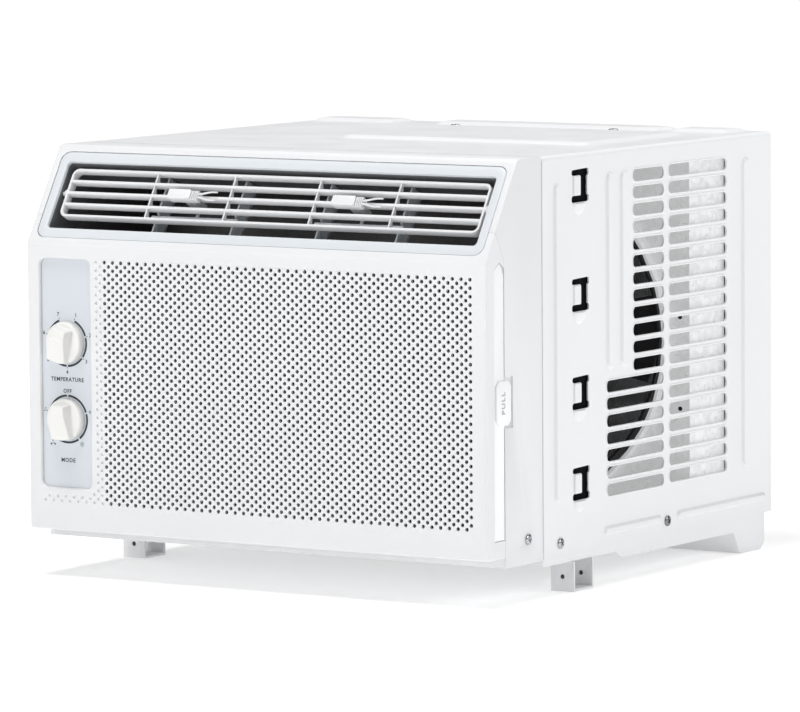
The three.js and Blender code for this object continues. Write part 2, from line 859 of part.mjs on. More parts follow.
// The scroll's wall: a spiral that opens clockwise from the tongue into the upward throat.
function scrollOutline(grow) {
  const points = [];
  const steps = 26;
  for (let i = 0; i <= steps; i++) {
    const t = i / steps;
    const angle = tongueAngle + t * (2 * Math.PI - tongueAngle);
    const radius = scrollStart + t * (scrollEnd - scrollStart) + grow;
    points.push([axisX + radius * Math.cos(angle), axisZ + radius * Math.sin(angle)]);
  }
  points.push([throatRight + grow, ductLow - gap]);
  points.push([throatLeft - grow, ductLow - gap]);
  return points;
}

function blowerScroll() {
  const body = alongY(outline(scrollOutline(2)), scrollFront, scrollRear);
  const hollow = alongY(outline(scrollOutline(0)), scrollFront + 2, scrollRear - 2);
  const throat = box(throatLeft + 1, throatRight, scrollFront + 2, scrollRear - 2, ductLow - 12, ductLow + 1);
  const inlet = bar("y", 50, scrollFront - 1, scrollFront + 3, axisX, axisZ, 28);
  const shaftHole = bar("y", 12, scrollRear - 3, scrollRear + 1, axisX, axisZ, 16);
  return cut(body, [hollow, throat, inlet, shaftHole]);
}

function bulkhead() {
  const plate = box(-half + 5, half - 5, bulkheadFace, bulkheadFace + 1.5, -11, bodyTop - 3);
  const shaftHole = bar("y", 12, bulkheadFace - 1, bulkheadFace + 3, axisX, axisZ, 16);
  const pipeHole = box(-172, -142, bulkheadFace - 1, bulkheadFace + 3, 20, 60);
  return cut(plate, [shaftHole, pipeHole]);
}

// A finned block between two end plates, with return bends at one end.
function coil({ left, right, front, rear, low, high, bendSide, bends }) {
  const block = box(left, right, front, rear, low, high);
  const plates = [left - 1.5, right].map((x) => box(x, x + 1.5, front - 2, rear + 2, low - 1.5, high + 1.5));
  const pitch = (high - low) / bends;
  const reach = 7;
  const end = bendSide < 0 ? left - 1.5 : right + 1.5;
  const loops = [];
  for (let i = 0; i < bends; i++) {
    const z = low + (i + 0.5) * pitch;
    const arc = [-1, -0.7, 0, 0.7, 1].map((t) => {
      const out = end + bendSide * (reach * Math.sqrt(1 - t * t) - 1);
      return [out, (front + rear) / 2, z + t * pitch * 0.28];
    });
    const straight = end - bendSide * 2;
    const route = [[straight, arc[0][1], arc[0][2]], ...arc, [straight, arc[4][1], arc[4][2]]];
    loops.push(pipe(route, 3.6, 6));
  }
  return joined([block, ...plates, ...loops]);
}

const evaporator = {
  left: -122,
  right: 190,
  front: 30.5,
  rear: 56,
  low: -0.5,
  high: 204,
  bendSide: -1,
  bends: 6,
};
const condenser = {
  left: -180,
  right: 186,
  front: coilFront,
  rear: coilRear,
  low: -27,
  high: 276,
  bendSide: -1,
  bends: 8,
};

// ---- Fan set ------------------------------------------------------------------------------
function blowerWheel() {
  const blades = [];
  const count = 18;
  for (let i = 0; i < count; i++) {
    const blade = new THREE.BoxGeometry(11, wheelRear - wheelFront - 1, 1.2);
    blade.rotateY(0.45).translate(wheelRadius - 7, (wheelFront + wheelRear) / 2, 0);
    blade.rotateY((i * 2 * Math.PI) / count);
    blades.push(solid(blade.translate(axisX, 0, axisZ)));
  }
  const rim = (y0, y1, inner) =>
    bar("y", wheelRadius, y0, y1, axisX, axisZ, 30).subtract(bar("y", inner, y0 - 1, y1 + 1, axisX, axisZ, 30));
  const hub = bar("y", 11, wheelRear - 24, wheelRear, axisX, axisZ, 16);
  const bore = bar("y", shaftRadius + gap, wheelFront, wheelRear + 1, axisX, axisZ, 16);
  const frontRim = rim(wheelFront, wheelFront + 3, wheelRadius - 13);
  const rearRim = rim(wheelRear - 2, wheelRear, 6);
  return joined([frontRim, rearRim, hub, ...blades]).subtract(bore);
}

function condenserFan() {
  const hub = bar("y", 24, shroudFace - 8, shroudFace + 20, axisX, axisZ, 20);
  const ring = bar("y", fanRadius, shroudFace + 4, shroudFace + 16, axisX, axisZ, 36).subtract(
    bar("y", fanRadius - 2, shroudFace, shroudFace + 20, axisX, axisZ, 36),
  );
  const blades = [0, 1, 2, 3, 4].map((i) => {
    const shape = outline([
      [16, -14],
      [fanRadius - 1, -36],
      [fanRadius - 1, 36],
      [16, 14],
    ]);
    const blade = slab(shape, 2, 1).translate(0, 0, -1);
    blade.rotateX(Math.PI / 2 - 0.34).translate(0, shroudFace + 8, 0);
    blade.rotateY((i * 2 * Math.PI) / 5);
    return solid(blade.translate(axisX, 0, axisZ));
  });
  const trim = bar("y", fanRadius - 1, shroudFace - 30, shroudFace + 40, axisX, axisZ, 36);
  const bore = bar("y", shaftRadius + gap, shroudFace - 30, shroudFace + 40, axisX, axisZ, 16);
  return joined([hub, ring, ...blades.map((blade) => blade.intersect(trim))]).subtract(bore);
}

function condenserShroud() {
  const left = -98;
  const right = half - sheet - 2.3;
  const low = -15;
  const high = 281;
  const skin = 1.2;
  const face = box(left, right, shroudFace, shroudFace + skin, low, high);
  const flanges = [
    box(right - skin, right, shroudFace, 351, low, high),
    box(left, left + skin, shroudFace, coilFront - 4, low, high),
    box(left, right - 9, shroudFace, coilFront - 4, high - skin, high),
    box(left, right - 9, shroudFace, coilFront - 4, low, low + skin),
  ];
  const lip = bar("y", orificeRadius + 2.4, shroudFace - 7, shroudFace + skin, axisX, axisZ, 36);
  const hole = bar("y", orificeRadius, shroudFace - 8, shroudFace + skin + 1, axisX, axisZ, 36);
  return joined([face, ...flanges, lip]).subtract(hole);
}

function fanMotor() {
  const radius = 46;
  const front = 188;
  const rear = 264;
  const body = turned(
    [
      [0, front],
      [16, front],
      [18, front + 6],
      [radius - 6, front + 10],
      [radius, front + 18],
      [radius, rear - 18],
      [radius - 6, rear - 10],
      [18, rear - 6],
      [16, rear],
      [0, rear],
    ],
    24,
  );
  const bore = bar("y", shaftRadius + gap, front - 1, rear + 1, 0, 0, 16);
  return solid(body).subtract(bore);
}

function motorMount() {
  const floor = -16.5;
  const saddle = outline([
    [-44, floor],
    [44, floor],
    [40, axisZ - 5],
    [-40, axisZ - 5],
  ]);
  const plates = [212, 238].map((y) => alongY(saddle, y, y + 2.5));
  const foot = box(-44, 44, 212, 240.5, floor, floor + 2.5);
  const cradle = bar("y", 46 + gap, 200, 260, 0, axisZ, 24);
  return joined([...plates, foot]).subtract(cradle);
}

function addFans() {
  part("evaporator_coil", coil(evaporator), aluminiumFin);
  part("condenser_coil", coil(condenser), aluminiumFin);
  part("condenser_shroud", condenserShroud(), galvanised);
  part("condenser_fan", condenserFan(), blackPlastic);
  part("blower_wheel", blowerWheel(), blackPlastic);
  part("blower_scroll", blowerScroll(), foam);
  part("air_duct", airDuct(), foam);
  part("bulkhead", bulkhead(), galvanised);
  part("fan_motor", fanMotor(), blackPaint, placed(axisX, 0, axisZ));
  part("motor_shaft", bar("y", shaftRadius, wheelRear - 26, shroudFace + 24, axisX, axisZ, 16), screwSteel);
  part("motor_mount", motorMount(), galvanised, placed(axisX, 0, 0));
}

// ---- Compressor and pipes -----------------------------------------------------------------
const compressorBase = 12;

function compressorShell() {
  const r = compressorRadius;
  const body = turned(
    [
      [0, compressorBase],
      [r - 14, compressorBase],
      [r, compressorBase + 12],
      [r, compressorBase + 172],
      [r - 6, compressorBase + 188],
      [r - 24, compressorBase + 198],
      [0, compressorBase + 201],
    ],
    20,
  ).rotateX(Math.PI / 2);
  const feet = [0, 1, 2].map((i) => {
    const angle = Math.PI / 2 + (i * 2 * Math.PI) / 3;
    const ear = slab(roundedRect(20, r + 13, -11, 11, 8), 3, 3).rotateZ(angle);
    return solid(ear.translate(0, 0, compressorBase));
  });
  const bolts = grommetPlaces.map(([x, y]) =>
    bar("z", 3, compressorBase - 1, compressorBase + 4, x - compressorX, y - compressorY, 10),
  );
  return cut(joined([solid(body), ...feet]), bolts);
}

const grommetPlaces = [0, 1, 2].map((i) => {
  const angle = Math.PI / 2 + (i * 2 * Math.PI) / 3;
  const reach = compressorRadius + 2;
  return [compressorX + reach * Math.cos(angle), compressorY + reach * Math.sin(angle)];
});

function addCompressor() {
  part("compressor", compressorShell(), blackPaint, placed(compressorX, compressorY, 0));
  grommetPlaces.forEach(([x, y], i) => {
    const low = panFloor + panWall + gap;
    const ring = turned(
      [
        [2.5, low],
        [9, low],
        [9, compressorBase - gap],
        [2.5, compressorBase - gap],
        [2.5, low],
      ],
      14,
    ).rotateX(Math.PI / 2);
    part("compressor_grommet_" + (i + 1), solid(ring), rubber, placed(x, y, 0));
  });
  const cap = alongZ(roundedRect(-20, 20, -14, 14, 5), compressorBase + 201.5, compressorBase + 222, 3);
  part("terminal_cover", cap, blackPlastic, placed(compressorX, compressorY, 0));
  const accumulator = turned(
    [
      [0, 50],
      [14, 52],
      [21, 62],
      [21, 158],
      [14, 168],
      [0, 170],
    ],
    18,
  ).rotateX(Math.PI / 2);
  part("accumulator", solid(accumulator), blackPaint, placed(-158, 330, 0));
  const top = 170.4;
  part(
    "suction_line",
    pipe(
      [
        [-158, 330, top],
        [-158, 330, top + 20],
        [-164, 316, top + 38],
        [-190, 280, top + 30],
        [-192, 230, 120],
        [-188, 200, 60],
        [-160, 176, 42],
        [-156, 150, 40],
        [-150, 110, 40],
        [-138, 66, 66],
        [-132, 54, 86],
        [-126.8, 52.5, 90],
      ],
      4.8,
      30,
      6,
    ),
    copper,
  );
  part(
    "discharge_line",
    pipe(
      [
        [compressorX + 34, compressorY, compressorBase + 197.6],
        [compressorX + 34, compressorY, compressorBase + 222],
        [compressorX + 26, compressorY + 30, compressorBase + 246],
        [compressorX - 10, compressorY + 80, compressorBase + 250],
        [-168, compressorY + 116, compressorBase + 240],
        [-190, compressorY + 136, compressorBase + 210],
        [-191, compressorY + 143, compressorBase + 192],
        [-184.4, compressorY + 143, compressorBase + 186],
      ],
      3.6,
      28,
      6,
    ),
    copper,
  );
  part(
    "liquid_line",
    pipe(
      [
        [-183.6, 381, 26],
        [-190, 377, 23],
        [-186, 340, 8],
        [-160, 316, 3],
        [-112, 302, 2],
        [-86, 280, 2],
        [-62, 245, 2],
        [-60, 212, 4],
        [-76, 189, 10],
        [-112, 178, 22],
        [-150, 171, 32],
        [-158, 150, 30],
        [-150, 100, 26],
        [-136, 66, 22],
        [-125.6, 52.5, 20],
      ],
      2.4,
      42,
      6,
    ),
    copper,
  );
}

addCase();
addFasteners();
addOutlet();
addControls();
addFilter();
addFans();
addCompressor();

const windowAirConditioner = new THREE.Group();
windowAirConditioner.add(unit);

export default windowAirConditioner;
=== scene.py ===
"""Looks of the window air conditioner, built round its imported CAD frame.

Working coordinates are millimetres from the lower edge of the front face: x to the right, y to the
rear, z up. world() turns them into the row frame in metres.
"""

import json
import math
import random

import bmesh
import bpy
from mathutils import Matrix, Vector
from mathutils.geometry import tessellate_polygon

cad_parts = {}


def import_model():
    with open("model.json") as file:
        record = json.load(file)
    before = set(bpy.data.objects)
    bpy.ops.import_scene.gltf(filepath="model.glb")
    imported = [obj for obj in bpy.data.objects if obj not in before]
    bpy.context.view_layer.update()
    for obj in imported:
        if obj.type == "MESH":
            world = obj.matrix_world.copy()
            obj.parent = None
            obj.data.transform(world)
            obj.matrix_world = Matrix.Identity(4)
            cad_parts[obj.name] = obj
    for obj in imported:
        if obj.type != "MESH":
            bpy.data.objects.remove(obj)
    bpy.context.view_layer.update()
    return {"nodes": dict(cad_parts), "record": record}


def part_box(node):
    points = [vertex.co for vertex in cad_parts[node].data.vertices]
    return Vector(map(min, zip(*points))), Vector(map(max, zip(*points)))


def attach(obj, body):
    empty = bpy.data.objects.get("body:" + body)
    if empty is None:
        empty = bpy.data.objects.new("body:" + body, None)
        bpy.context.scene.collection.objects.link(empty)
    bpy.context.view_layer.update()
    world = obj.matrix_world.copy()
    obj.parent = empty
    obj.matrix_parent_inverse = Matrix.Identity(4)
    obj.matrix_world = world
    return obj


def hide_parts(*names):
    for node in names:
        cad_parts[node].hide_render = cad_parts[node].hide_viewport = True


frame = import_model()
MM = 0.001
WELD = 2e-6  # metres: points nearer than this are one point
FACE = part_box("front_cover")[0]
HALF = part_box("front_cover")[1].x / MM
DEPTH = (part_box("cabinet_wrap")[1].y - FACE.y) / MM
TOP = (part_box("front_frame")[1].z - FACE.z) / MM
FOLD = 216.5  # height at which the outlet face starts to lean back
RUN = 44.0  # how far back it leans
SLOPE = math.hypot(RUN, TOP - FOLD)
UP = Vector((0, RUN, TOP - FOLD)) / SLOPE
OUT = Vector((0, -UP.z, UP.y))
random.seed(7)


def world(p):
    return Vector((p[0] * MM, FACE.y + p[1] * MM, FACE.z + p[2] * MM))


def on_slope(x, up, deep):
    """A point of the outlet face: up the slope from the fold, and deep below it."""
    return Vector((x, up * UP.y - deep * OUT.y, FOLD + up * UP.z - deep * OUT.z))


def on_side(side, y, z, deep=0.0):
    return Vector((side * (HALF - deep), y, z))


# ---- Meshes ----
def turns(count):
    """Angles of count equal steps round a circle."""
    return [2 * math.pi * k / count for k in range(count)]


def circle(u, v, radius, count):
    return [(u + radius * math.cos(t), v + radius * math.sin(t)) for t in turns(count)]


def polar(u, v, reach, degrees):
    t = math.radians(degrees)
    return (u + reach * math.cos(t), v + reach * math.sin(t))


class Shape:
    """Collects faces in working millimetres. outward gives the side a face at a point looks to."""

    def __init__(self, outward=None):
        self.points = []
        self.faces = []
        self.outward = outward

    def add(self, points, faces):
        start = len(self.points)
        points = [Vector(p) for p in points]
        for face in faces:
            if self.outward:
                corners = [points[i] for i in face]
                centre = sum(corners, Vector()) / len(corners)
                normal = Vector()
                for a, b in zip(corners, corners[1:] + corners[:1]):
                    normal += (a - centre).cross(b - centre)
                if normal.dot(self.outward(centre)) < 0:
                    face = tuple(reversed(face))
            self.faces.append(tuple(start + i for i in face))
        self.points += [tuple(p) for p in points]

    def loops(self, rings, close=False, cap_first=False, cap_last=False):
        """Quads between rings of equally many points; each ring closes on itself."""
        n = len(rings[0])
        points = [p for ring in rings for p in ring]
        pairs = list(zip(range(len(rings)), range(1, len(rings))))
        if close:
            pairs.append((len(rings) - 1, 0))
        faces = [
            (a * n + i, a * n + (i + 1) % n, b * n + (i + 1) % n, b * n + i)
            for a, b in pairs
            for i in range(n)
        ]
        if cap_first:
            faces.append(tuple(reversed(range(n))))
        if cap_last:
            faces.append(tuple((len(rings) - 1) * n + i for i in range(n)))
        self.add(points, faces)

    def prism(self, rings):
        """Rings joined up, with both ends closed."""
        self.loops(rings, cap_first=True, cap_last=True)

    def cap(self, points):
        self.add(points, [tuple(range(len(points)))])

    def grid(self, rows):
        n = len(rows[0])
        faces = [
            (j * n + i, j * n + i + 1, (j + 1) * n + i + 1, (j + 1) * n + i)
            for j in range(len(rows) - 1)
            for i in range(n - 1)
        ]
        self.add([p for row in rows for p in row], faces)

    def filled(self, outer, holes, place):
        """A flat polygon with holes, drawn in two coordinates and put in space by place."""
        lines = [outer] + holes
        flat = [p for line in lines for p in line]
        triangles = tessellate_polygon([[Vector((u, v, 0)) for u, v in line] for line in lines])
        self.add([place(u, v) for u, v in flat], triangles)


def recoat(data, material):
    data.materials.clear()
    data.materials.append(material)


def placed(name, data):
    thing = bpy.data.objects.new(name, data)
    bpy.context.scene.collection.objects.link(thing)
    return thing


def finished(name, mesh, body, slot, nodes=(), smooth=35):
    for polygon in mesh.polygons:
        polygon.use_smooth = True
    mesh.set_sharp_from_angle(angle=math.radians(smooth))
    piece = placed(name, mesh)
    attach(piece, body)
    if nodes:
        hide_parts(*nodes)
    if not mesh.materials:
        mesh.materials.append(MATERIALS[slot])
    return piece


def plain_mesh(bm, name):
    """A mesh of the bmesh's points and faces alone."""
    bm.verts.index_update()
    mesh = bpy.data.meshes.new(name)
    mesh.from_pydata([v.co for v in bm.verts], [], [[v.index for v in f.verts] for f in bm.faces])
    bm.free()
    return mesh


def joined_mesh(name, meshes):
    bm = bmesh.new()
    for mesh in meshes:
        bm.from_mesh(mesh)
    whole = bpy.data.meshes.new(name)
    bm.to_mesh(whole)
    bm.free()
    return whole


def shape_mesh(name, shape, weld=0.0, turn=False):
    """The shape as a mesh, with points nearer than weld joined and faces turned outward."""
    mesh = bpy.data.meshes.new(name)
    mesh.from_pydata([world(p) for p in shape.points], [], shape.faces)
    bm = bmesh.new()
    bm.from_mesh(mesh)
    if weld:
        bmesh.ops.remove_doubles(bm, verts=bm.verts, dist=weld)
    if turn:
        bmesh.ops.recalc_face_normals(bm, faces=bm.faces)
    bm.to_mesh(mesh)
    bm.free()
    return mesh


def made(name, shape, body, slot, nodes=(), smooth=35, weld=WELD):
    mesh = shape_mesh(name, shape, weld=weld, turn=not shape.outward)
    return finished(name, mesh, body, slot, nodes, smooth)


def applied(mesh, kind, **settings):
    """The mesh with one modifier's result."""
    holder = placed("holder", mesh)
    modifier = holder.modifiers.new("work", kind)
    for key, value in settings.items():
        setattr(modifier, key, value)
    graph = bpy.context.evaluated_depsgraph_get()
    result = bpy.data.meshes.new_from_object(holder.evaluated_get(graph))
    bpy.data.objects.remove(holder)
    return result


def cad_shell(node):
    """A welded bmesh of a CAD node with its flat areas joined up."""
    bm = bmesh.new()
    bm.from_mesh(frame["nodes"][node].data)
    bmesh.ops.remove_doubles(bm, verts=bm.verts, dist=WELD)
    bmesh.ops.dissolve_limit(bm, angle_limit=math.radians(0.6), verts=bm.verts, edges=bm.edges)
    return bm


def eased(node, width, slot, body="case", segments=2, smooth=35):
    """The node's own shape with its edges rounded off."""
    mesh = applied(
        plain_mesh(cad_shell(node), node + "_eased"),
        "BEVEL",
        width=width * MM,
        segments=segments,
        limit_method="ANGLE",
        angle_limit=math.radians(28),
    )
    return finished(node + "_eased", mesh, body, slot, [node], smooth)


def rounded(u0, u1, v0, v1, radius, steps=6):
    """Counter-clockwise outline of a rectangle with round corners."""
    corners = [
        (u1 - radius, v0 + radius, -90),
        (u1 - radius, v1 - radius, 0),
        (u0 + radius, v1 - radius, 90),
        (u0 + radius, v0 + radius, 180),
    ]
    return [
        polar(u, v, radius, start + 90 * i / steps)
        for u, v, start in corners
        for i in range(steps + 1)
    ]


def grown(box, by, radius, steps=6):
    u0, u1, v0, v1 = box
    return rounded(u0 - by, u1 + by, v0 - by, v1 + by, max(radius + by, 0.2), steps)


def ease(t):
    t = min(max(t, 0.0), 1.0)
    return t * t * (3 - 2 * t)


# ---- Materials ----
def put_in(node, values):
    for key, value in values.items():
        node.inputs[key].default_value = value


def noise(tree, where, scale, detail=3.0, rough=0.5):
    cloud = tree.nodes.new("ShaderNodeTexNoise")
    put_in(cloud, {"Scale": scale, "Detail": detail, "Roughness": rough})
    tree.links.new(where, cloud.inputs["Vector"])
    return cloud.outputs["Fac"]


def spread_of(tree, value, low, high, centre=0.25):
    ranged = tree.nodes.new("ShaderNodeMapRange")
    put_in(ranged, {"From Min": centre, "From Max": 1 - centre, "To Min": low, "To Max": high})
    tree.links.new(value, ranged.inputs["Value"])
    return ranged.outputs["Result"]


def mixed_colour(tree, factor, low, high):
    mix = tree.nodes.new("ShaderNodeMix")
    mix.data_type = "RGBA"
    put_in(mix, {"A": (*low, 1), "B": (*high, 1)})
    tree.links.new(factor, mix.inputs["Factor"])
    return mix.outputs["Result"]


def tinted(tree, shader, value, low, high, centre=0.25):
    """Base colour between low and high, by value."""
    colours = mixed_colour(tree, spread_of(tree, value, 0, 1, centre), low, high)
    tree.links.new(colours, shader.inputs["Base Color"])


def glossed(tree, shader, value, low, high, centre=0.25):
    """Roughness between low and high, by value."""
    tree.links.new(spread_of(tree, value, low, high, centre), shader.inputs["Roughness"])


def worked(tree, operation, first, second=None):
    """One sum on a value; second is a number or another value."""
    step = tree.nodes.new("ShaderNodeMath")
    step.operation = operation
    tree.links.new(first, step.inputs[0])
    if isinstance(second, float):
        step.inputs[1].default_value = second
    elif second:
        tree.links.new(second, step.inputs[1])
    return step.outputs["Value"]


def voronoi(tree, where, scale):
    cells = tree.nodes.new("ShaderNodeTexVoronoi")
    cells.inputs["Scale"].default_value = scale
    tree.links.new(where, cells.inputs["Vector"])
    return cells.outputs


def shaded(colour, by):
    return tuple(min(max(c * by, 0.0), 1.0) for c in colour)


def blank(name, metallic=0.0, **sockets):
    material = bpy.data.materials.new(name)
    material.use_nodes = True
    tree = material.node_tree
    shader = tree.nodes["Principled BSDF"]
    put_in(shader, {"Metallic": metallic, **sockets})
    where = tree.nodes.new("ShaderNodeTexCoord").outputs["Object"]
    return material, tree, shader, where


def bumped(tree, shader, heights):
    """Chains bumps; heights lists (value, distance in metres, strength)."""
    normal = None
    for value, distance, strength in heights:
        bump = tree.nodes.new("ShaderNodeBump")
        put_in(bump, {"Distance": distance, "Strength": strength})
        tree.links.new(value, bump.inputs["Height"])
        if normal:
            tree.links.new(normal, bump.inputs["Normal"])
        normal = bump.outputs["Normal"]
    tree.links.new(normal, shader.inputs["Normal"])


def moulded(name, colour, rough, grain=2600, depth=0.00002, tint=0.02, **sockets):
    """Moulded plastic: a fine spark texture, slow flow shading and uneven gloss."""
    material, tree, shader, where = blank(name, **sockets)
    slow = noise(tree, where, 9, 4)
    fine = noise(tree, where, grain, 2)
    tinted(tree, shader, slow, shaded(colour, 1 - tint), shaded(colour, 1 + tint / 2))
    glossed(tree, shader, noise(tree, where, 60, 5), rough - 0.05, rough + 0.06)
    bumped(tree, shader, [(fine, depth, 0.5), (slow, depth * 6, 0.15)])
    return material


def coated(name, colour, rough, peel=420, depth=0.00004):
    """Baked powder coat: orange peel, faint clouds and slightly uneven gloss."""
    material, tree, shader, where = blank(name)
    tinted(tree, shader, noise(tree, where, 5, 3), shaded(colour, 0.975), shaded(colour, 1.01))
    glossed(tree, shader, noise(tree, where, 30, 4), rough - 0.05, rough + 0.07)
    bumped(tree, shader, [(noise(tree, where, peel, 2), depth, 0.6)])
    return material


def zinc(name, dark, light, rough):
    """Hot-dip zinc: angular spangles of differing brightness over soft clouds."""
    material, tree, shader, where = blank(name, metallic=0.15)
    grey = tree.nodes.new("ShaderNodeSeparateColor")
    tree.links.new(voronoi(tree, where, 230)["Color"], grey.inputs["Color"])
    cloud = noise(tree, where, 26, 6, 0.6)
    spangle = worked(tree, "MULTIPLY", grey.outputs["Red"], 0.5)
    both = worked(tree, "ADD", spangle, worked(tree, "MULTIPLY", cloud, 0.6))
    tinted(tree, shader, both, dark, light, 0.2)
    glossed(tree, shader, grey.outputs["Green"], rough - 0.08, rough + 0.12, 0.0)
    bumped(tree, shader, [(cloud, 0.00006, 0.4)])
    return material


def drawn(name, low, high, rough, stretch=(1, 1, 1), metallic=1.0):
    """Bare metal with fine lines along the axis that stretch leaves small."""
    material, tree, shader, where = blank(name, metallic=metallic)
    mapping = tree.nodes.new("ShaderNodeMapping")
    mapping.inputs["Scale"].default_value = stretch
    tree.links.new(where, mapping.inputs["Vector"])
    lines = noise(tree, mapping.outputs["Vector"], 160, 5, 0.6)
    tinted(tree, shader, noise(tree, where, 22, 4), low, high)
    glossed(tree, shader, lines, rough - 0.08, rough + 0.12)
    bumped(tree, shader, [(lines, 0.00003, 0.35)])
    return material


def beaded(name, colour):
    """Expanded foam: rounded cells pressed together."""
    material, tree, shader, where = blank(name)
    cells = voronoi(tree, where, 330)["Distance"]
    tinted(tree, shader, cells, colour, shaded(colour, 0.86), 0.1)
    glossed(tree, shader, noise(tree, where, 40, 3), 0.75, 0.95)
    bumped(tree, shader, [(cells, -0.0003, 0.6)])
    return material


def netted(name, thread, hole):
    """Fine plastic net: dark threads each way over a near-black ground; the ground is painted shade
    seen through the net's openings.
    """
    material, tree, shader, where = blank(name)
    parts = tree.nodes.new("ShaderNodeSeparateXYZ")
    tree.links.new(where, parts.inputs["Vector"])
    per_metre = 2 * math.pi / NET_PITCH
    across, up = (
        worked(tree, "SINE", worked(tree, "MULTIPLY", parts.outputs[axis], per_metre))
        for axis in ("X", "Z")
    )
    threads = worked(tree, "MAXIMUM", across, up)
    tinted(tree, shader, threads, hole, thread, 0.35)
    glossed(tree, shader, noise(tree, where, 90, 3), 0.6, 0.9)
    bumped(tree, shader, [(threads, 0.0002, 0.6)])
    return material


def inked(name, colour):
    """Printed ink, a little uneven."""
    material, tree, shader, where = blank(name)
    wear = noise(tree, where, 900, 3)
    tinted(tree, shader, wear, shaded(colour, 0.85), shaded(colour, 1.25))
    glossed(tree, shader, wear, 0.35, 0.55)
    bumped(tree, shader, [(wear, 0.00001, 0.4)])
    return material


NET_PITCH = 0.0016
WHITE = (0.725, 0.73, 0.74)
PAINT_WHITE = (0.765, 0.77, 0.78)
MATERIALS = {
    "white_plastic": moulded("white_plastic", WHITE, 0.42),
    "grey_plastic": moulded("grey_plastic", (0.64, 0.67, 0.70), 0.36),
    "control_panel": moulded("control_panel", (0.60, 0.635, 0.675), 0.34, grain=3200),
    "knob_plastic": moulded("knob_plastic", (0.77, 0.765, 0.745), 0.3, grain=3600, depth=0.00001),
    "filter_plastic": moulded("filter_plastic", (0.84, 0.85, 0.86), 0.48),
    # the net's own dark colour, darkened further as painted shade so the cover's holes read black
    "filter_net": netted("filter_net", (0.05, 0.052, 0.055), (0.004, 0.004, 0.004)),
    "switch_plastic": moulded("switch_plastic", (0.8, 0.79, 0.75), 0.5),
    "painted_steel": coated("painted_steel", PAINT_WHITE, 0.34),
    "galvanised_steel": zinc("galvanised_steel", (0.42, 0.43, 0.44), (0.72, 0.73, 0.74), 0.34),
    "screw_steel": drawn("screw_steel", (0.16, 0.17, 0.18), (0.6, 0.61, 0.63), 0.22),
    "coil_aluminium": drawn(
        "coil_aluminium", (0.5, 0.51, 0.52), (0.72, 0.73, 0.74), 0.4, (1, 1, 0.05), 0.8
    ),
    "copper": drawn("copper", (0.55, 0.26, 0.14), (0.8, 0.42, 0.25), 0.3),
    "black_plastic": moulded("black_plastic", (0.02, 0.02, 0.022), 0.45, tint=0.2),
    "black_enamel": coated("black_enamel", (0.015, 0.015, 0.017), 0.3),
    "rubber": moulded("rubber", (0.02, 0.02, 0.02), 0.8, grain=1500, depth=0.00005, tint=0.3),
    "white_foam": beaded("white_foam", (0.86, 0.86, 0.84)),
}
# zinc for the condenser shroud with a faint white emission: painted light, so the shroud seen
# through the side slots glows as if lit
SHROUD_GLOW_ZINC = zinc("zinc_painted_glow", (0.28, 0.29, 0.3), (0.44, 0.45, 0.46), 0.34)
glow_shader = SHROUD_GLOW_ZINC.node_tree.nodes["Principled BSDF"]
put_in(glow_shader, {"Emission Color": (1, 1, 1, 1), "Emission Strength": 0.38})
# a darker copy of the galvanised zinc: painted shade for the coil end plates seen through the side
# slots
END_PLATE_SHADE_ZINC = zinc("end_zinc_painted_shade", (0.3, 0.31, 0.32), (0.56, 0.57, 0.58), 0.36)
INK = inked("panel_ink", (0.01, 0.018, 0.028))
DULL = {"Specular IOR Level": 0.05}
# near-black, almost unreflecting fill: painted shade behind the side clip slots
SLOT_SHADE_FILL = moulded("slot_painted_shade", (0.006, 0.006, 0.007), 0.95, tint=0.3, **DULL)
# dark grey for the outlet throat: grey plastic darkened with painted shade of the recessed tunnel
THROAT_SHADE_GREY = moulded("throat_grey_painted_shade", (0.13, 0.135, 0.14), 0.5)
# near-black foam for the air duct behind the louver: painted shade of the recess behind the outlet
DUCT_FOAM_SHADE = beaded("duct_foam_painted_shade", (0.16, 0.155, 0.155))
# grey for the raised PULL letters: painted shade standing for the shading of the embossing
LETTER_SHADE_GREY = moulded("letter_painted_shade", (0.42, 0.43, 0.44), 0.5)
FAINT_INK = inked("faint_panel_ink", (0.14, 0.2, 0.26))

for entry in frame["record"]["subparts"]:
    data = frame["nodes"][entry["node"]].data
    recoat(data, MATERIALS[entry["material_slot"]])
    for polygon in data.polygons:
        polygon.use_smooth = True
    data.set_sharp_from_angle(angle=math.radians(30))

# the shroud takes the glowing zinc: painted light on the part behind the side slots
recoat(frame["nodes"]["condenser_shroud"].data, SHROUD_GLOW_ZINC)
# air duct coloured near black: painted shade behind the louver
recoat(frame["nodes"]["air_duct"].data, DUCT_FOAM_SHADE)

# ---- Front cover ----
RECESS = (-192.0, -146.5, 32.5, 205.0)
RECESS_RADIUS = 5.0
RECESS_LIP = 1.7
PLATE = 2.5
EDGE = 1.6
HOLE = 1.46
STEP_X = 3.74  # half of the hole pitch, each way
STEP_Z = 3.07
FIRST_X = -132.3
FIRST_Z = 25.7
LAST_COLUMN = 86
LAST_ROW = 58
DENT_COLUMNS = 2
DENT_ROW_START = -15
CELL_SIDES = 12


def cell_kind(i, j):
    """What the staggered pattern has at half-pitch column i and row j."""
    if (i + j) % 2 or (i < -DENT_COLUMNS - 1 and j > 0):
        return "flat"
    return "hole" if i >= 0 else "dent"


def cell_rim():
    """Offsets of a cell's outer points, with four of them in its corners."""
    a, b = STEP_X / 2, STEP_Z / 2
    turn = turns(CELL_SIDES)
    rim = []
    for t in turn:
        c, s = math.cos(t), math.sin(t)
        reach = min(a / max(abs(c), 1e-9), b / max(abs(s), 1e-9))
        rim.append((reach * c, reach * s))
    for u, v in ((a, b), (-a, b), (-a, -b), (a, -b)):
        angle = math.atan2(v, u) % (2 * math.pi)
        nearest = min(range(CELL_SIDES), key=lambda n: abs(turn[n] - angle))
        rim[nearest] = (u, v)
    return rim


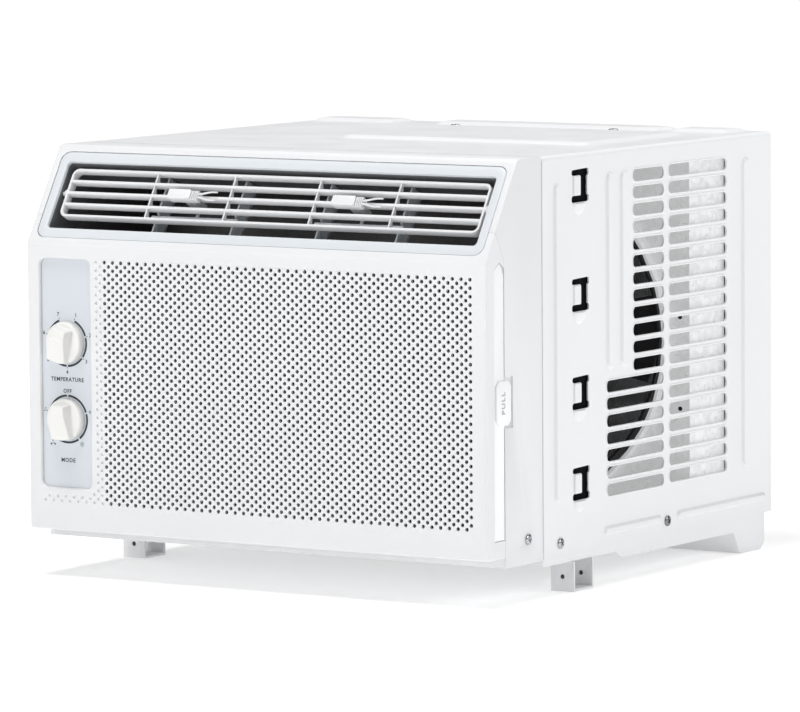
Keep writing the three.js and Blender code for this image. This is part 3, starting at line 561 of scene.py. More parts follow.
def perforated(shape):
    """The field of holes, with a border of shallow dents on its left and under the recess."""
    cells = [(i, j) for i in range(-DENT_COLUMNS, LAST_COLUMN + 1) for j in range(-1, LAST_ROW + 1)]
    cells += [(i, j) for i in range(DENT_ROW_START, -DENT_COLUMNS) for j in (-1, 0, 1)]
    rim = cell_rim()
    hole = ((HOLE + 0.06, 0), (HOLE, 0.12), (HOLE, 0.5), (HOLE + 0.12, 0.8), (HOLE + 0.12, PLATE))
    dent = ((1.3, 0), (1.15, 0.5), (0.75, 1.0), (0.3, 1.15))
    for i, j in cells:
        x = FIRST_X + i * STEP_X
        z = FIRST_Z + j * STEP_Z
        kind = cell_kind(i, j)
        outer = [(x + u, 0, z + v) for u, v in rim]
        back = [(x + u, PLATE, z + v) for u, v in rim]
        profile = hole if kind == "hole" else dent
        rings = [[(u, y, v) for u, v in circle(x, z, r, CELL_SIDES)] for r, y in profile]
        if kind == "hole":
            shape.loops([outer] + rings + [back])
            continue
        if kind == "flat":
            shape.cap(outer)
        else:
            shape.loops([outer] + rings, cap_last=True)
        shape.cap(back)


def field_outline():
    """The edge of the patterned field, with a point wherever its cells have one."""
    a, b = STEP_X / 2, STEP_Z / 2
    third = b / math.tan(math.radians(60))

    def across(z, first, last):
        cells = [FIRST_X + i * STEP_X for i in range(first, last + 1)]
        return [(x + d, z) for x in cells for d in (-a, -third, 0, third)]

    def upright(x, first, last):
        cells = [FIRST_Z + j * STEP_Z for j in range(first, last + 1)]
        return [(x, z + d) for z in cells for d in (-b, 0)]

    low_x = FIRST_X - DENT_COLUMNS * STEP_X - a
    high_x = FIRST_X + LAST_COLUMN * STEP_X + a
    strip_x = FIRST_X + DENT_ROW_START * STEP_X - a
    low_z = FIRST_Z - STEP_Z - b
    strip_z = FIRST_Z + STEP_Z + b
    high_z = FIRST_Z + LAST_ROW * STEP_Z + b
    line = across(low_z, DENT_ROW_START, LAST_COLUMN)
    line += upright(high_x, -1, LAST_ROW) + [(high_x, high_z)]
    line += across(high_z, -DENT_COLUMNS, LAST_COLUMN)[::-1]
    line += upright(low_x, 2, LAST_ROW)[::-1]
    line += across(strip_z, DENT_ROW_START, -DENT_COLUMNS - 1)[::-1]
    line += upright(strip_x, -1, 1)[:0:-1]
    return line


def along_cover(point):
    """A world point in working millimetres, without the side offset."""
    return point.x / MM, (point.y - FACE.y) / MM, (point.z - FACE.z) / MM


def cover_shell():
    """The cover's CAD shape with its outer edges rounded and its flat front taken out."""
    bm = cad_shell("front_cover")
    weights = bm.edges.layers.float.new("bevel_weight_edge")

    def outside(v):
        x, y, z = along_cover(v.co)
        slope = abs((z - FOLD) * OUT.z + y * OUT.y)
        return [abs(x) > HALF - 0.1, y < 0.1, z < 0.1, slope < 0.1 and z > FOLD - 0.1]

    for e in bm.edges:
        marks = [a and b for a, b in zip(*(outside(v) for v in e.verts))]
        if sum(marks) >= 2 and e.calc_length() > 0.02:
            e[weights] = 1.0
    mesh = bpy.data.meshes.new("front_cover_shell")
    bm.to_mesh(mesh)
    bm.free()
    bevel = {"segments": 4, "limit_method": "WEIGHT", "use_clamp_overlap": False}
    mesh = applied(mesh, "BEVEL", width=EDGE * MM, **bevel)
    bm = bmesh.new()
    bm.from_mesh(mesh)
    for side in (-1, 1):
        fold = world((side * HALF, 0.4, FOLD))
        crossed = [
            v
            for v in bm.verts
            if abs(v.co.x - fold.x) < 0.05 * MM and (v.co - fold).length < 1.0 * MM
        ]
        middle = sum((v.co for v in crossed), Vector()) / len(crossed)
        bmesh.ops.pointmerge(bm, verts=crossed, merge_co=middle)
    flat = []
    for f in bm.faces:
        x, y, z = along_cover(f.calc_center_median())
        faced = abs(f.normal.y) > 0.999 and f.calc_area() > 4e-5
        level = faced and min(abs(y), abs(y - PLATE)) < 0.05
        inside = RECESS[0] - 1 < x < RECESS[1] + 1 and RECESS[2] - 1 < z < RECESS[3] + 1
        if level or (inside and y < PLATE + 0.1):
            flat.append(f)
    bmesh.ops.delete(bm, geom=flat, context="FACES")
    rim = [v.co for v in bm.verts if v.is_boundary and v.co.y - FACE.y < 0.02 * MM]
    outline = [(p.x / MM, (p.z - FACE.z) / MM) for p in rim]
    outline.sort(key=lambda p: math.atan2(p[1] - FOLD / 2, p[0]))
    return plain_mesh(bm, "front_cover_shell"), outline


def front_cover():
    """The rounded shell, with the flat face, the recess lip and the inside made again."""
    shell, outline = cover_shell()
    shape = Shape()
    perforated(shape)
    field = field_outline()
    lip = grown(RECESS, RECESS_LIP, RECESS_RADIUS)
    shape.filled(outline, [field, lip], lambda u, v: (u, 0, v))
    rings = []
    for k in range(7):
        t = math.radians(15 * k)
        ring = grown(RECESS, RECESS_LIP * (1 - math.sin(t)), RECESS_RADIUS)
        rings.append([(u, PLATE * (1 - math.cos(t)), v) for u, v in ring])
    shape.loops(rings)
    inner = [(-HALF + 4, 4), (HALF - 4, 4), (HALF - 4, FOLD - 4), (-HALF + 4, FOLD - 4)]
    holes = [field, grown(RECESS, 0, RECESS_RADIUS)]
    shape.filled(inner, holes, lambda u, v: (u, PLATE, v))
    bm = bmesh.new()
    bm.from_mesh(shape_mesh("front_panel", shape, weld=4e-6, turn=True))
    large = (f for f in bm.faces if f.calc_area() > 1e-5)
    face = min(large, key=lambda f: f.calc_center_median().y)
    if face.normal.y > 0:
        bmesh.ops.reverse_faces(bm, faces=bm.faces)
    bm.from_mesh(shell)
    bmesh.ops.remove_doubles(bm, verts=bm.verts, dist=3e-5)
    whole = plain_mesh(bm, "front_cover_moulding")
    finished("front_cover_moulding", whole, "case", "white_plastic", ["front_cover"], 24)


front_cover()
eased("front_frame", 1.2, "white_plastic", segments=3, smooth=30)

# ---- Outlet ----
BEZEL = (-197.5, 197.5, 5.2, 78.0)
MOUTH = (-190.0, 190.0, 13.5, 69.5)
THROAT = 36.0


def slope_ring(box, by, radius, deep):
    return [on_slope(u, v, deep) for u, v in grown(box, by, radius)]


def outlet_bezel():
    rim = [slope_ring(BEZEL, by, 8, d) for by, d in ((0, 3), (0, 1.0), (-0.35, 0.35), (-1.0, 0.1))]
    rim += [slope_ring(MOUTH, by, 3, d) for by, d in ((1.0, 0.1), (0.3, 0.4), (0, 1.1), (0, 3))]
    shape = Shape()
    shape.loops(rim, close=True)
    made("outlet_bezel_rim", shape, "case", "grey_plastic", ["outlet_bezel"], 40)
    section = ((0.05, 2.6), (0, 2.9), (0, THROAT), (2.5, THROAT), (2.5, 3.2))
    throat = Shape()
    throat.loops([slope_ring(MOUTH, by, 3, deep) for by, deep in section], close=True)
    piece = made("outlet_throat", throat, "case", "grey_plastic", smooth=40)
    # throat walls take the darkened grey: painted shade inside the outlet
    recoat(piece.data, THROAT_SHADE_GREY)


outlet_bezel()

PIVOT_UP = 45.5
LOUVER = (-186.0, 186.0, PIVOT_UP - 20.5, PIVOT_UP + 20.5)
LOUVER_TOP = 4.0
LOUVER_DEEP = 7.0
BAR = 2.3
RIBS = (-108.0, -38.0, 38.0, 108.0)


def slope_bar(shape, u0, u1, v0, v1, deep0, deep1):
    """A bar across the outlet with a rounded front edge."""
    mid = (v0 + v1) / 2
    nose = 0.5
    soft, near = nose * 0.4, deep0 + nose * 0.3
    section = [(v0, deep0 + nose), (v0 + soft, near), (mid - 0.1, deep0), (mid + 0.1, deep0)]
    section += [(v1 - soft, near), (v1, deep0 + nose), (v1 - 0.25, deep1), (v0 + 0.25, deep1)]
    shape.prism([[on_slope(u, v, d) for v, d in section] for u in (u0, u1)])


def air_louver():
    shape = Shape()
    top, bottom = LOUVER_TOP, LOUVER_TOP + LOUVER_DEEP
    frame_profile = ((0, 0.6), (-0.35, 0.12), (-0.9, 0), (0.8 - BAR, 0), (0.3 - BAR, 0.12))
    frame_profile += ((-BAR, 0.6), (0.3 - BAR, LOUVER_DEEP), (-0.3, LOUVER_DEEP))
    shape.loops([slope_ring(LOUVER, by, 6, top + deep) for by, deep in frame_profile], close=True)
    pitch = (LOUVER[3] - LOUVER[2] - BAR) / 4
    for k in (1, 2, 3):
        v = LOUVER[2] + k * pitch
        slope_bar(shape, LOUVER[0] + 1.5, LOUVER[1] - 1.5, v, v + BAR, top, bottom)
    for x in RIBS:
        for k in range(4):
            v0 = LOUVER[2] + k * pitch + BAR - 0.2
            v1 = v0 + pitch - BAR + 0.4
            profile = [(v0, top + 0.7), (v1, top + 0.7), (v1, top + 2.4), (v0, bottom - 0.2)]
            shape.prism([[on_slope(x + lean, v, d) for v, d in profile] for lean in (-0.55, 0.55)])
    middle = LOUVER_TOP + LOUVER_DEEP / 2
    for side in (-1, 1):
        rings = []
        for along, r in ((-1.0, 3.4), (1.2, 3.4), (1.6, 3.0), (1.7, 1.8), (5.4, 1.8)):
            x = side * (LOUVER[1] + along)
            rings.append([on_slope(x, v, d) for v, d in circle(PIVOT_UP, middle, r, 20)])
        shape.prism(rings)
    made("air_louver_grid", shape, "louver", "white_plastic", ["air_louver"], 40)


air_louver()


def vane_tab_details(hand, middle):
    """Finger ridges beside the grip block, and the thin fork that runs on to its right."""
    shape = Shape()
    for k in range(4):
        x = middle + 3.6 + 1.5 * k
        slope_bar(shape, x, x + 0.8, PIVOT_UP - 3.4, PIVOT_UP + 3.4, 0.4, 2.2)
    for lean in (-1, 1):
        rings = []
        for k in range(8):
            t = k / 7
            x = middle + 8.5 + 17 * t
            v = PIVOT_UP + lean * (1.2 + 2.2 * ease(t * 1.4))
            thick = 0.9 - 0.35 * t
            deep = 2.0 - 0.3 * t
            rings.append([on_slope(x, up, d) for up, d in circle(v, deep, thick, 10)])
        shape.prism(rings)
    made("vane_tab_fork_" + hand, shape, "vane_tab_" + hand, "white_plastic", smooth=50)


vane_tab_details("left", -73)
vane_tab_details("right", 73)
for hand in ("left", "right"):
    eased("vane_tab_" + hand, 0.5, "white_plastic", "vane_tab_" + hand)
    eased("vane_link_" + hand, 0.2, "grey_plastic", "vane_link_" + hand, 1)
    for row in ("outer", "inner"):
        name = f"vane_{row}_{hand}"
        eased(name, 0.25, "grey_plastic", name)

# ---- Controls ----
KNOB_X = -169.3
TEMPERATURE_Z = 142.0
MODE_Z = 84.2
PLATE_Y = 2.8
RING = 17.7
RING_WIDTH = 1.6
DIGITS = {"1": 68, "2": 16, "3": -38, "4": -90, "5": 217.7, "6": 163, "7": 111}
MODES = {"fan_low": 163, "fan_high": 232.9, "cool_high": -55, "cool_low": 17}
WORDS = (("TEMPERATURE", 114.0, 3.0), ("OFF", 105.2, 2.9), ("MODE", 53.0, 3.1))


def plate_point(x, z, lift=0.04):
    return (x, PLATE_Y - lift, z)


def arc_strip(shape, z, start, end):
    n = max(4, int(abs(end - start) / 4))
    angles = [start + (end - start) * k / n for k in range(n + 1)]
    radii = (RING - RING_WIDTH / 2, RING + RING_WIDTH / 2)
    shape.grid([[plate_point(*polar(KNOB_X, z, r, a)) for a in angles] for r in radii])


def stroke(shape, start, end, width):
    """A straight line with its ends a little past start and end."""
    along = Vector((end[0] - start[0], end[1] - start[1])).normalized() * width / 2
    across = Vector((-along.y, along.x))
    points = []
    for (x, z), a, b in ((start, -1, -1), (end, 1, -1), (end, 1, 1), (start, -1, 1)):
        u = x + along.x * a * 0.3 + across.x * b
        v = z + along.y * a * 0.3 + across.y * b
        points.append(plate_point(u, v))
    shape.add(points, [(0, 1, 2, 3)])


def snowflake(shape, x, z, size):
    for k in range(6):
        angle = 90 + 60 * k
        stroke(shape, (x, z), polar(x, z, size, angle), 0.28)
        fork = polar(x, z, 0.55 * size, angle)
        for lean in (-50, 50):
            stroke(shape, fork, polar(*fork, 0.35 * size, angle + lean), 0.24)


def fan_mark(shape, x, z, size):
    blade = ((-0.15, 0.6), (-0.35, 0.95), (0.1, 1.08), (0.35, 0.9))
    for k in range(3):
        t = math.radians(90 + 120 * k)
        points = [plate_point(x, z)]
        for turn, reach in blade:
            u, v = size * reach * math.cos(t + turn), size * reach * math.sin(t + turn)
            points.append(plate_point(x + u, z + v))
        shape.cap(points)


def lettering(name, text, x, z, height, place, turn=0.0, spacing=1.0):
    """Flat letters centred on x, z of a face, in working millimetres."""
    curve = bpy.data.curves.new(name, "FONT")
    curve.body = text
    curve.size = height * 1.4
    curve.offset = height * 0.035
    curve.align_x = "CENTER"
    curve.align_y = "CENTER"
    curve.space_character = spacing
    curve.resolution_u = 3
    holder = placed(name, curve)
    bpy.context.view_layer.update()
    mesh = bpy.data.meshes.new_from_object(holder)
    bpy.data.objects.remove(holder)
    spin = Matrix.Rotation(math.radians(turn), 3, "Z")
    for vertex in mesh.vertices:
        p = spin @ vertex.co
        vertex.co = world(place(x + p.x, z + p.y))
    mesh.materials.clear()
    return mesh


def control_plate():
    shape = Shape()
    outline = grown(RECESS, 4.5, -0.5)
    holes = [circle(KNOB_X, z, 3.6, 24) for z in (TEMPERATURE_Z, MODE_Z)]
    levels = (PLATE_Y, PLATE_Y + 2.2)
    for y in levels:
        shape.filled(outline, holes, lambda u, v, y=y: (u, y, v))
    for line in [outline] + holes:
        shape.loops([[(u, y, v) for u, v in line] for y in levels])
    made("control_plate_face", shape, "case", "control_panel", ["control_plate"])


def panel_marks():
    """Printed rings, signs, digits and words round the knobs."""
    dark = Shape(lambda centre: Vector((0, -1, 0)))
    marks = [111, 163, 217.7, 270, 322, 376, 428]
    around = [17, 90, 163, 232.9, 305, 377]
    for a, b in zip(marks, marks[1:]):
        arc_strip(dark, TEMPERATURE_Z, a + 2.0, b - 2.0)
    for angle in marks:
        ends = [polar(KNOB_X, TEMPERATURE_Z, RING + by, angle) for by in (0.9, 2.0)]
        stroke(dark, *ends, 0.5)
    for a, b in zip(around, around[1:]):
        arc_strip(dark, MODE_Z, a + 2.0, b - 2.0)
    fan_mark(dark, *polar(KNOB_X, MODE_Z, 21.2, MODES["fan_low"]), 1.7)
    fan_mark(dark, *polar(KNOB_X, MODE_Z, 23.0, MODES["fan_high"]), 2.6)
    pale = Shape(lambda centre: Vector((0, -1, 0)))
    snowflake(pale, *polar(KNOB_X, MODE_Z, 21.4, MODES["cool_low"]), 1.3)
    snowflake(pale, *polar(KNOB_X, MODE_Z, 22.4, MODES["cool_high"]), 2.1)
    meshes = [shape_mesh("rings", dark)]
    for digit, angle in DIGITS.items():
        x, z = polar(KNOB_X, TEMPERATURE_Z, 22.4, angle)
        x = min(max(x, RECESS[0] + 1.6), RECESS[1] - 1.4)
        meshes.append(lettering("digit_" + digit, digit, x, z, 2.8, plate_point))
    for text, z, height in WORDS:
        meshes.append(lettering(text.lower(), text, KNOB_X, z, height, plate_point, 0.0, 1.12))
    printed = joined_mesh("panel_marks_dark", meshes)
    flakes = shape_mesh("flakes", pale)
    for tone, mesh, ink in (("dark", printed, INK), ("pale", flakes, FAINT_INK)):
        recoat(mesh, ink)
        finished("panel_marks_" + tone, mesh, "case", "control_panel")


def knob(name, z, pointer):
    """A round skirt with a pointed ear, and a broad wedge of a grip turned away from the ear."""
    radius, nose, base = 15.9, 19.6, PLATE_Y - 0.3
    low_edge, wedge_high = 5.6, 7.4
    grip = math.radians(36)
    tangent = math.acos(radius / nose)

    def reach(t):
        t = abs((t + math.pi) % (2 * math.pi) - math.pi)
        if t >= tangent:
            return radius
        return min(radius / math.cos(tangent - t), nose - 0.5)

    def lift(x, v, share):
        a = x * math.cos(grip) + v * math.sin(grip)
        b = v * math.cos(grip) - x * math.sin(grip)
        half_width = 5.6 + 0.10 * (a + 11)
        across = 1 - ease((abs(b) - half_width) / 1.3)
        along = 1 - ease((-a - 10.2) / 2.2)
        fall = 0.26 * max(a, -4.0)
        wedge = max(0.0, across * along) * (wedge_high - fall)
        return low_edge + 1.1 * (1 - share**3) + wedge

    spin = math.radians(pointer)

    def put(a, b, height):
        x = a * math.cos(spin) - b * math.sin(spin)
        v = a * math.sin(spin) + b * math.cos(spin)
        return (KNOB_X + x, base - height, z + v)

    around = turns(120)
    rings = [
        [put(reach(t) * s * math.cos(t), reach(t) * s * math.sin(t), h) for t in around]
        for s, h in ((0.9, 0.0), (0.985, 0.0), (1.0, 0.4), (0.985, 3.8))
    ]
    steps = 40
    for k in range(steps):
        share = 0.975 * (1 - k / steps)
        rounding = 1 - 0.12 * (1 - ease((0.985 - share) / 0.07))
        ring = []
        for t in around:
            r = reach(t) * share
            a, b = r * math.cos(t), r * math.sin(t)
            ring.append(put(a, b, lift(a, b, share) * rounding))
        rings.append(ring)
    shape = Shape()
    shape.prism(rings)
    made(name + "_cap", shape, name, "knob_plastic", [name], 60)


control_plate()
panel_marks()
knob("knob_temperature", TEMPERATURE_Z, DIGITS["5"])
knob("knob_mode", MODE_Z, MODES["fan_high"])

# ---- Filter ----
eased("filter_frame", 0.45, "filter_plastic", "filter")


def pull_pocket():
    """Shallow finger recess beside the pull, closing the opening that the pull leaves."""
    shape = Shape(lambda centre: Vector((1, 0, 0)))
    box = (24.9, 36.0, 94.4, 131.8)
    rings = []
    for by, deep in ((0.6, 1.1), (-0.2, 1.3), (-0.9, 2.0), (-2.0, 2.8), (-3.2, 3.2)):
        radius = 3.4 if by < 0 else 0.0
        rings.append([on_side(1, u, v, deep) for u, v in grown(box, by, radius, 5)])
    shape.loops(rings)
    shape.cap(rings[-1])
    made("pull_pocket", shape, "case", "white_plastic", smooth=50)


def pull_word():
    def beside(y, z):
        return (HALF + 1.42, y, z)

    word = lettering("pull", "PULL", 21.0, 113.1, 4.6, beside, 90, 1.25)
    mesh = applied(word, "SOLIDIFY", thickness=0.3 * MM, offset=0.0)
    # letters coloured grey as painted shade of their raised edges
    recoat(mesh, LETTER_SHADE_GREY)
    finished("filter_pull_word", mesh, "filter", "filter_plastic", smooth=40)


def filter_slot_trim():
    """Closes the cover's moulding round the upper end of the filter slot."""
    shape = Shape()
    corner = [(HALF - 3.2, EDGE), (HALF - 3.2, 0.3)]
    corner += [polar(HALF - EDGE, EDGE, EDGE - 0.25, 15 * k - 90) for k in range(7)]
    shape.prism([[(x, y, z) for x, y in corner] for z in (212.6, 215.9)])
    above = [(1.55, 212.6), (14.0, 212.4), (18.6, 215.75), (22.0, 213.4), (24.0, 213.4)]
    above += [(24.0, 216.9), (2.2, 216.9), (1.55, 216.0)]
    behind = [(19.0, 215.1), (24.7, 205.9), (26.3, 205.9), (26.3, 209.9)]
    for outline, depths in ((above, (0.04, 2.3)), (behind, (1.2, 2.4))):
        shape.prism([[on_side(1, y, z, d) for y, z in outline] for d in depths])
    made("filter_slot_trim", shape, "case", "white_plastic", smooth=40)


filter_slot_trim()
pull_pocket()
pull_word()

# ---- Cabinet ----
CABINET_FRONT = 77.3
SKIRT = -7.5
BEND = 3.0
SHEET = 1.2
SLOT_HIGH = 8.8
SLOT_PITCH = 12.87
SLOT_TOP = 271.6
SLOT_ROUND = 3.7
SLOT_COLUMNS = (
    (261.0, 349.0, 0, 19, 0.0),
    (208.0, 253.5, 0, 12, -0.6),
    (169.0, 252.5, 12, 19, -1.0),
)
CLIP_TOPS = (276.3, 196.0, 123.5, 56.3)
RIB_LIFT = 2.0
RIB_FLANK = 2.0
RIB_BOXES = (
    (93.3, 103.2, 32.4, 267.6),
    (168.2, 181.3, 124.4, 271.3),
    (188.6, 201.8, 124.2, 271.3),
    (371.8, 386.6, 30.0, 270.3),
    (164.0, 249.0, 1.5, 8.0),
    (272.0, 408.7, 2.0, 8.5),
)
ROOF_PADS = (
    (-57, 165, 205, 352),
    (-199, -123, 384, 418),
    (-84, 120, 384, 418),
    (131, 182, 384, 418),
)
FLANGE = 11.0  # how far the rear edge of the roof hangs down
SIDES = ((-1, "left"), (1, "right"))


def slot_boxes():
    for y0, y1, first, last, lift in SLOT_COLUMNS:
        for k in range(first, last):
            top = SLOT_TOP + lift - k * SLOT_PITCH
            yield (y0, y1, top - SLOT_HIGH, top)


def clip_outline(top):
    """An I-shaped slot with soft corners."""
    low = top - 24.6
    head = [(119.6, top - 2.0), (120.8, top - 0.7), (141.4, top), (143.6, top - 0.4)]
    head += [(143.8, top - 4.4), (142.0, top - 5.6)]
    foot = [(142.0, low + 5.6), (143.8, low + 4.4), (143.6, low + 1.0), (141.8, low)]
    foot += [(120.8, low - 0.2), (119.6, low + 1.0), (119.6, low + 3.6), (121, low + 4.9)]
    web = [(131.5, low + 4.9), (131.5, top - 4.9), (121, top - 4.9), (119.6, top - 3.8)]
    return head + foot + web


def pressed(shape, side, box):
    """A raised rib with round ends and sloping flanks."""
    y0, y1, z0, z1 = box
    radius = min(y1 - y0, z1 - z0) / 2 - 0.05
    rings = []
    for k in range(5):
        t = k / 4
        rise = RIB_LIFT * ease(t)
        rings.append([on_side(side, u, v, -rise) for u, v in grown(box, -RIB_FLANK * t, radius, 10)])
    shape.loops(rings, cap_last=True)


def dome(shape, side, top):
    """Half of a shallow bump, cut off level along its top."""
    y, half_width, drop, lift = 129.8, 9.0, 8.6, 2.2
    half_turn = [math.pi * n / 16 for n in range(17)]
    rows = []
    for k in range(9):
        share = 1 - k / 8
        rise = lift * math.sqrt(max(0.0, 1 - share * share))
        row = []
        for t in half_turn:
            u = y + half_width * share * math.cos(math.pi + t)
            row.append(on_side(side, u, top + drop * share * math.sin(math.pi + t), -rise))
        rows.append(row)
    shape.grid(rows)
    lip = [
        on_side(side, y + half_width * math.cos(t), top, -lift * math.sin(t)) for t in half_turn
    ]
    shape.cap(lip)


def side_panel(shape, side):
    """The sheet of one side, with dished slots and lanced clip slots cut through it."""

    def at(line, deep):
        return [on_side(side, u, v, deep) for u, v in line]

    slots = list(slot_boxes())
    clips = [clip_outline(top) for top in CLIP_TOPS]
    rear, roof_edge = DEPTH - BEND, TOP - BEND
    outline = [(CABINET_FRONT, SKIRT), (rear, SKIRT), (rear, roof_edge), (CABINET_FRONT, roof_edge)]
    dish = ((1.5, 0.0), (1.1, -0.35), (0.5, -0.4), (0.1, -0.1), (0.0, 0.3), (0.0, SHEET))
    for by, deep in (dish[0], dish[-1]):
        holes = [grown(s, by, SLOT_ROUND, 5) for s in slots] + clips
        shape.filled(outline, holes, lambda u, v, deep=deep: on_side(side, u, v, deep))
    for s in slots:
        shape.loops([at(grown(s, by, SLOT_ROUND, 5), deep) for by, deep in dish])
    for line in clips + [outline]:
        shape.loops([at(line, deep) for deep in (0.0, SHEET)])


def side_details(shape, side):
    """Clip tongues and the bumps under them, pressed ribs, and the rolled front hem."""
    for top in CLIP_TOPS:
        tongue = (121.5, 130.9, top - 19.4, top - 5.2)
        rings = [
            [on_side(side, u, v, -lift) for u, v in grown(tongue, by, 0.8, 3)]
            for by, lift in ((0.3, -0.2), (0, 1.0), (-0.5, 1.3))
        ]
        shape.loops(rings, cap_last=True)
        dome(shape, side, top - 25.4)
    for box in RIB_BOXES:
        pressed(shape, side, box)
    hem = ((0.0, 0.0), (0.4, -0.5), (1.3, -0.65), (2.2, -0.5), (2.7, 0.0))
    ends = (SKIRT, TOP - BEND - 0.5)
    shape.grid([[on_side(side, CABINET_FRONT + y, z, d) for y, d in hem] for z in ends])


def roof_height(x, y):
    rise = 0.0
    for x0, x1, y0, y1 in ROOF_PADS:
        inside = min(x - x0, x1 - x, y - y0, y1 - y)
        rise = max(rise, 2.3 * ease(inside / 5.0))
    return rise


def roof(shape):
    """Roof sheet with its pressed pads, bent down into the sides and the rear flange."""
    arc = [math.radians(a) for a in range(15, 91, 15)]
    columns, lines = 134, 114
    edge, rear = HALF - BEND, DEPTH - BEND
    across = [(-t, -edge) for t in reversed(arc)]
    across += [(0.0, -edge + 2 * edge * k / columns) for k in range(columns + 1)]
    across += [(t, edge) for t in arc]
    run = rear - CABINET_FRONT
    along = [(0.0, CABINET_FRONT + run * k / lines, 0.0) for k in range(lines + 1)]
    along += [(t, rear, 0.0) for t in arc]
    along += [(math.radians(90), rear, FLANGE)]
    rows = []
    for tilt, y, drop in along:
        row = []
        for lean, x in across:
            level = math.cos(lean)
            n = Vector((math.sin(lean), level * math.sin(tilt), level * math.cos(tilt)))
            p = Vector((x, y, TOP - BEND - drop)) + n * BEND
            if lean == 0 and tilt == 0:
                p.z += roof_height(x, y)
            row.append(p)
        rows.append(row)
    shape.grid(rows)


def rear_edges(shape):
    """The bend and narrow flange down each rear corner."""
    bend = [polar(HALF - BEND, DEPTH - BEND, BEND, a) for a in range(0, 91, 15)]
    bend.append((HALF - 14, DEPTH))
    for side in (-1, 1):
        ends = (TOP - BEND - FLANGE, SKIRT)
        shape.grid([[(side * x, y, z) for x, y in bend] for z in ends])


def cabinet():
    middle = Vector((0, DEPTH / 2, TOP / 2))
    bent = Shape(lambda centre: centre - middle)
    roof(bent)
    rear_edges(bent)
    sides = Shape()
    details = Shape(lambda centre: Vector((centre.x, 0, 0)))
    for side in (-1, 1):
        side_panel(sides, side)
        side_details(details, side)
    sheet = shape_mesh("cabinet_bends", bent, weld=4e-6)
    parts = [
        applied(sheet, "SOLIDIFY", thickness=SHEET * MM, offset=-1.0),
        shape_mesh("cabinet_sides", sides, weld=WELD, turn=True),
        shape_mesh("cabinet_details", details),
    ]
    whole = joined_mesh("cabinet_sheet", parts)
    finished("cabinet_sheet", whole, "case", "painted_steel", ["cabinet_wrap"], 28)


cabinet()


def clip_shade_fill():
    """Near-black strip inside the sheet behind the lanced slots: painted shade, so the slots read
    black.
    """
    strip = (112, 152, 24, 281)
    section = ((-1, SHEET + 1.2), (0, SHEET + 1.8), (0, SHEET + 3.4), (-1, SHEET + 4))
    for side, hand in SIDES:
        shape = Shape()
        shape.prism([[on_side(side, *p, d) for p in grown(strip, by, 3, 4)] for by, d in section])
        piece = made("clip_shade_fill_" + hand, shape, "case", "black_plastic", smooth=40)
        recoat(piece.data, SLOT_SHADE_FILL)


clip_shade_fill()


def joint_shade_strip():
    """Thin dark strip in the groove between the front frame and the cabinet: painted shade of the
    gap.
    """
    shape = Shape()
    front, rear = CABINET_FRONT - 0.75, CABINET_FRONT + 0.05
    deep = 2.0
    path = [(HALF - 0.05, -2.0), (HALF - 0.05, TOP - BEND)]
    path += [polar(HALF - BEND, TOP - BEND, BEND, a) for a in (30, 60, 90)]
    path += [(-x, z) for x, z in reversed(path)]
    rings = []
    for x, z in path:
        inner_x = x - x / HALF * deep
        inner_z = z - deep if abs(x) < HALF - 1 else z
        ring = [(x, front, z), (x, rear, z), (inner_x, rear, inner_z), (inner_x, front, inner_z)]
        rings.append(ring)
    shape.prism(rings)
    made("joint_shade_strip", shape, "case", "rubber", smooth=30)


joint_shade_strip()
eased("base_pan", 1.2, "painted_steel")
for hand in ("left", "right"):
    eased("front_bracket_" + hand, 0.35, "painted_steel")

# ---- Coils ----
TUBE_PITCH = 23.0
FIN_PITCH = 2.1
END_SHEET = 1.2


def condenser():
    """Thin fins on copper tubes, between two steel end plates."""
    x0, x1 = -180, 186
    y0, y1 = 378.4, 403.6
    z0, z1 = -26, 275
    fins = Shape()
    run = x1 - x0 - 3
    count = int(run / FIN_PITCH)
    for k in range(count + 1):
        x = x0 + 1.5 + run * k / count
        low, high = z0 + 0.35 * (k % 2), z1 - 0.35 * (k % 2)
        ring = [(y0 + 0.3, low), (y1 - 0.3, low), (y1 - 0.3, high), (y0 + 0.3, high)]
        fins.prism([[(x + d, y, z) for y, z in ring] for d in (-0.11, 0.11)])
    made("condenser_coil_fins", fins, "case", "coil_aluminium", ["condenser_coil"], weld=0.0)
    plates = Shape()
    plate = grown((y0, y1, z0 - 0.6, z1 + 0.6), 0, 1.0, 3)
    for x in (x0, x1 - END_SHEET):
        plates.prism([[(x + d, y, z) for y, z in plate] for d in (0, END_SHEET)])
    piece = made("condenser_coil_end_plates", plates, "case", "galvanised_steel")
    # end plates take the darker zinc copy: painted shade
    recoat(piece.data, END_PLATE_SHADE_ZINC)
    tubes = Shape()
    rows = int((z1 - z0) / TUBE_PITCH)
    first = z0 + (z1 - z0 - (rows - 1) * TUBE_PITCH) / 2
    for k in range(rows):
        ring = circle(y0 + (y1 - y0) * 0.5, first + k * TUBE_PITCH, 3.4, 10)
        tubes.prism([[(x, u, v) for u, v in ring] for x in (x0 - 0.8, x1 + 0.8)])
    made("condenser_coil_tubes", tubes, "case", "copper")


def flange_hole_shades():
    """Black discs on the shroud's flange, seen through the side slots: painted shade standing for
    the dark inside spare screw holes.
    """
    shape = Shape()
    for z in (153, 83):
        ring = circle(191.5, z, 1.7, 16)
        shape.prism([[(x, y, up) for x, up in ring] for y in (297.3, 297.9)])
    made("flange_hole_shades", shape, "case", "black_plastic")


def bracket_plugs():
    """Black plugs in the holes of the two front brackets."""
    for side, hand in SIDES:
        shape = Shape()
        for y in (121.0, 147.4):
            steps = ((1.2, 0.0), (1.72, 0.3), (1.72, 1.0))
            rings = [(circle(side * 193, -25, r, 20), y + d) for r, d in steps]
            shape.prism([[(u, deep, v) for u, v in ring] for ring, deep in rings])
        made("bracket_plugs_" + hand, shape, "case", "black_plastic")


flange_hole_shades()
condenser()
bracket_plugs()

# ---- Screws ----
HEAD = 4.1
HEAD_HIGH = 2.1


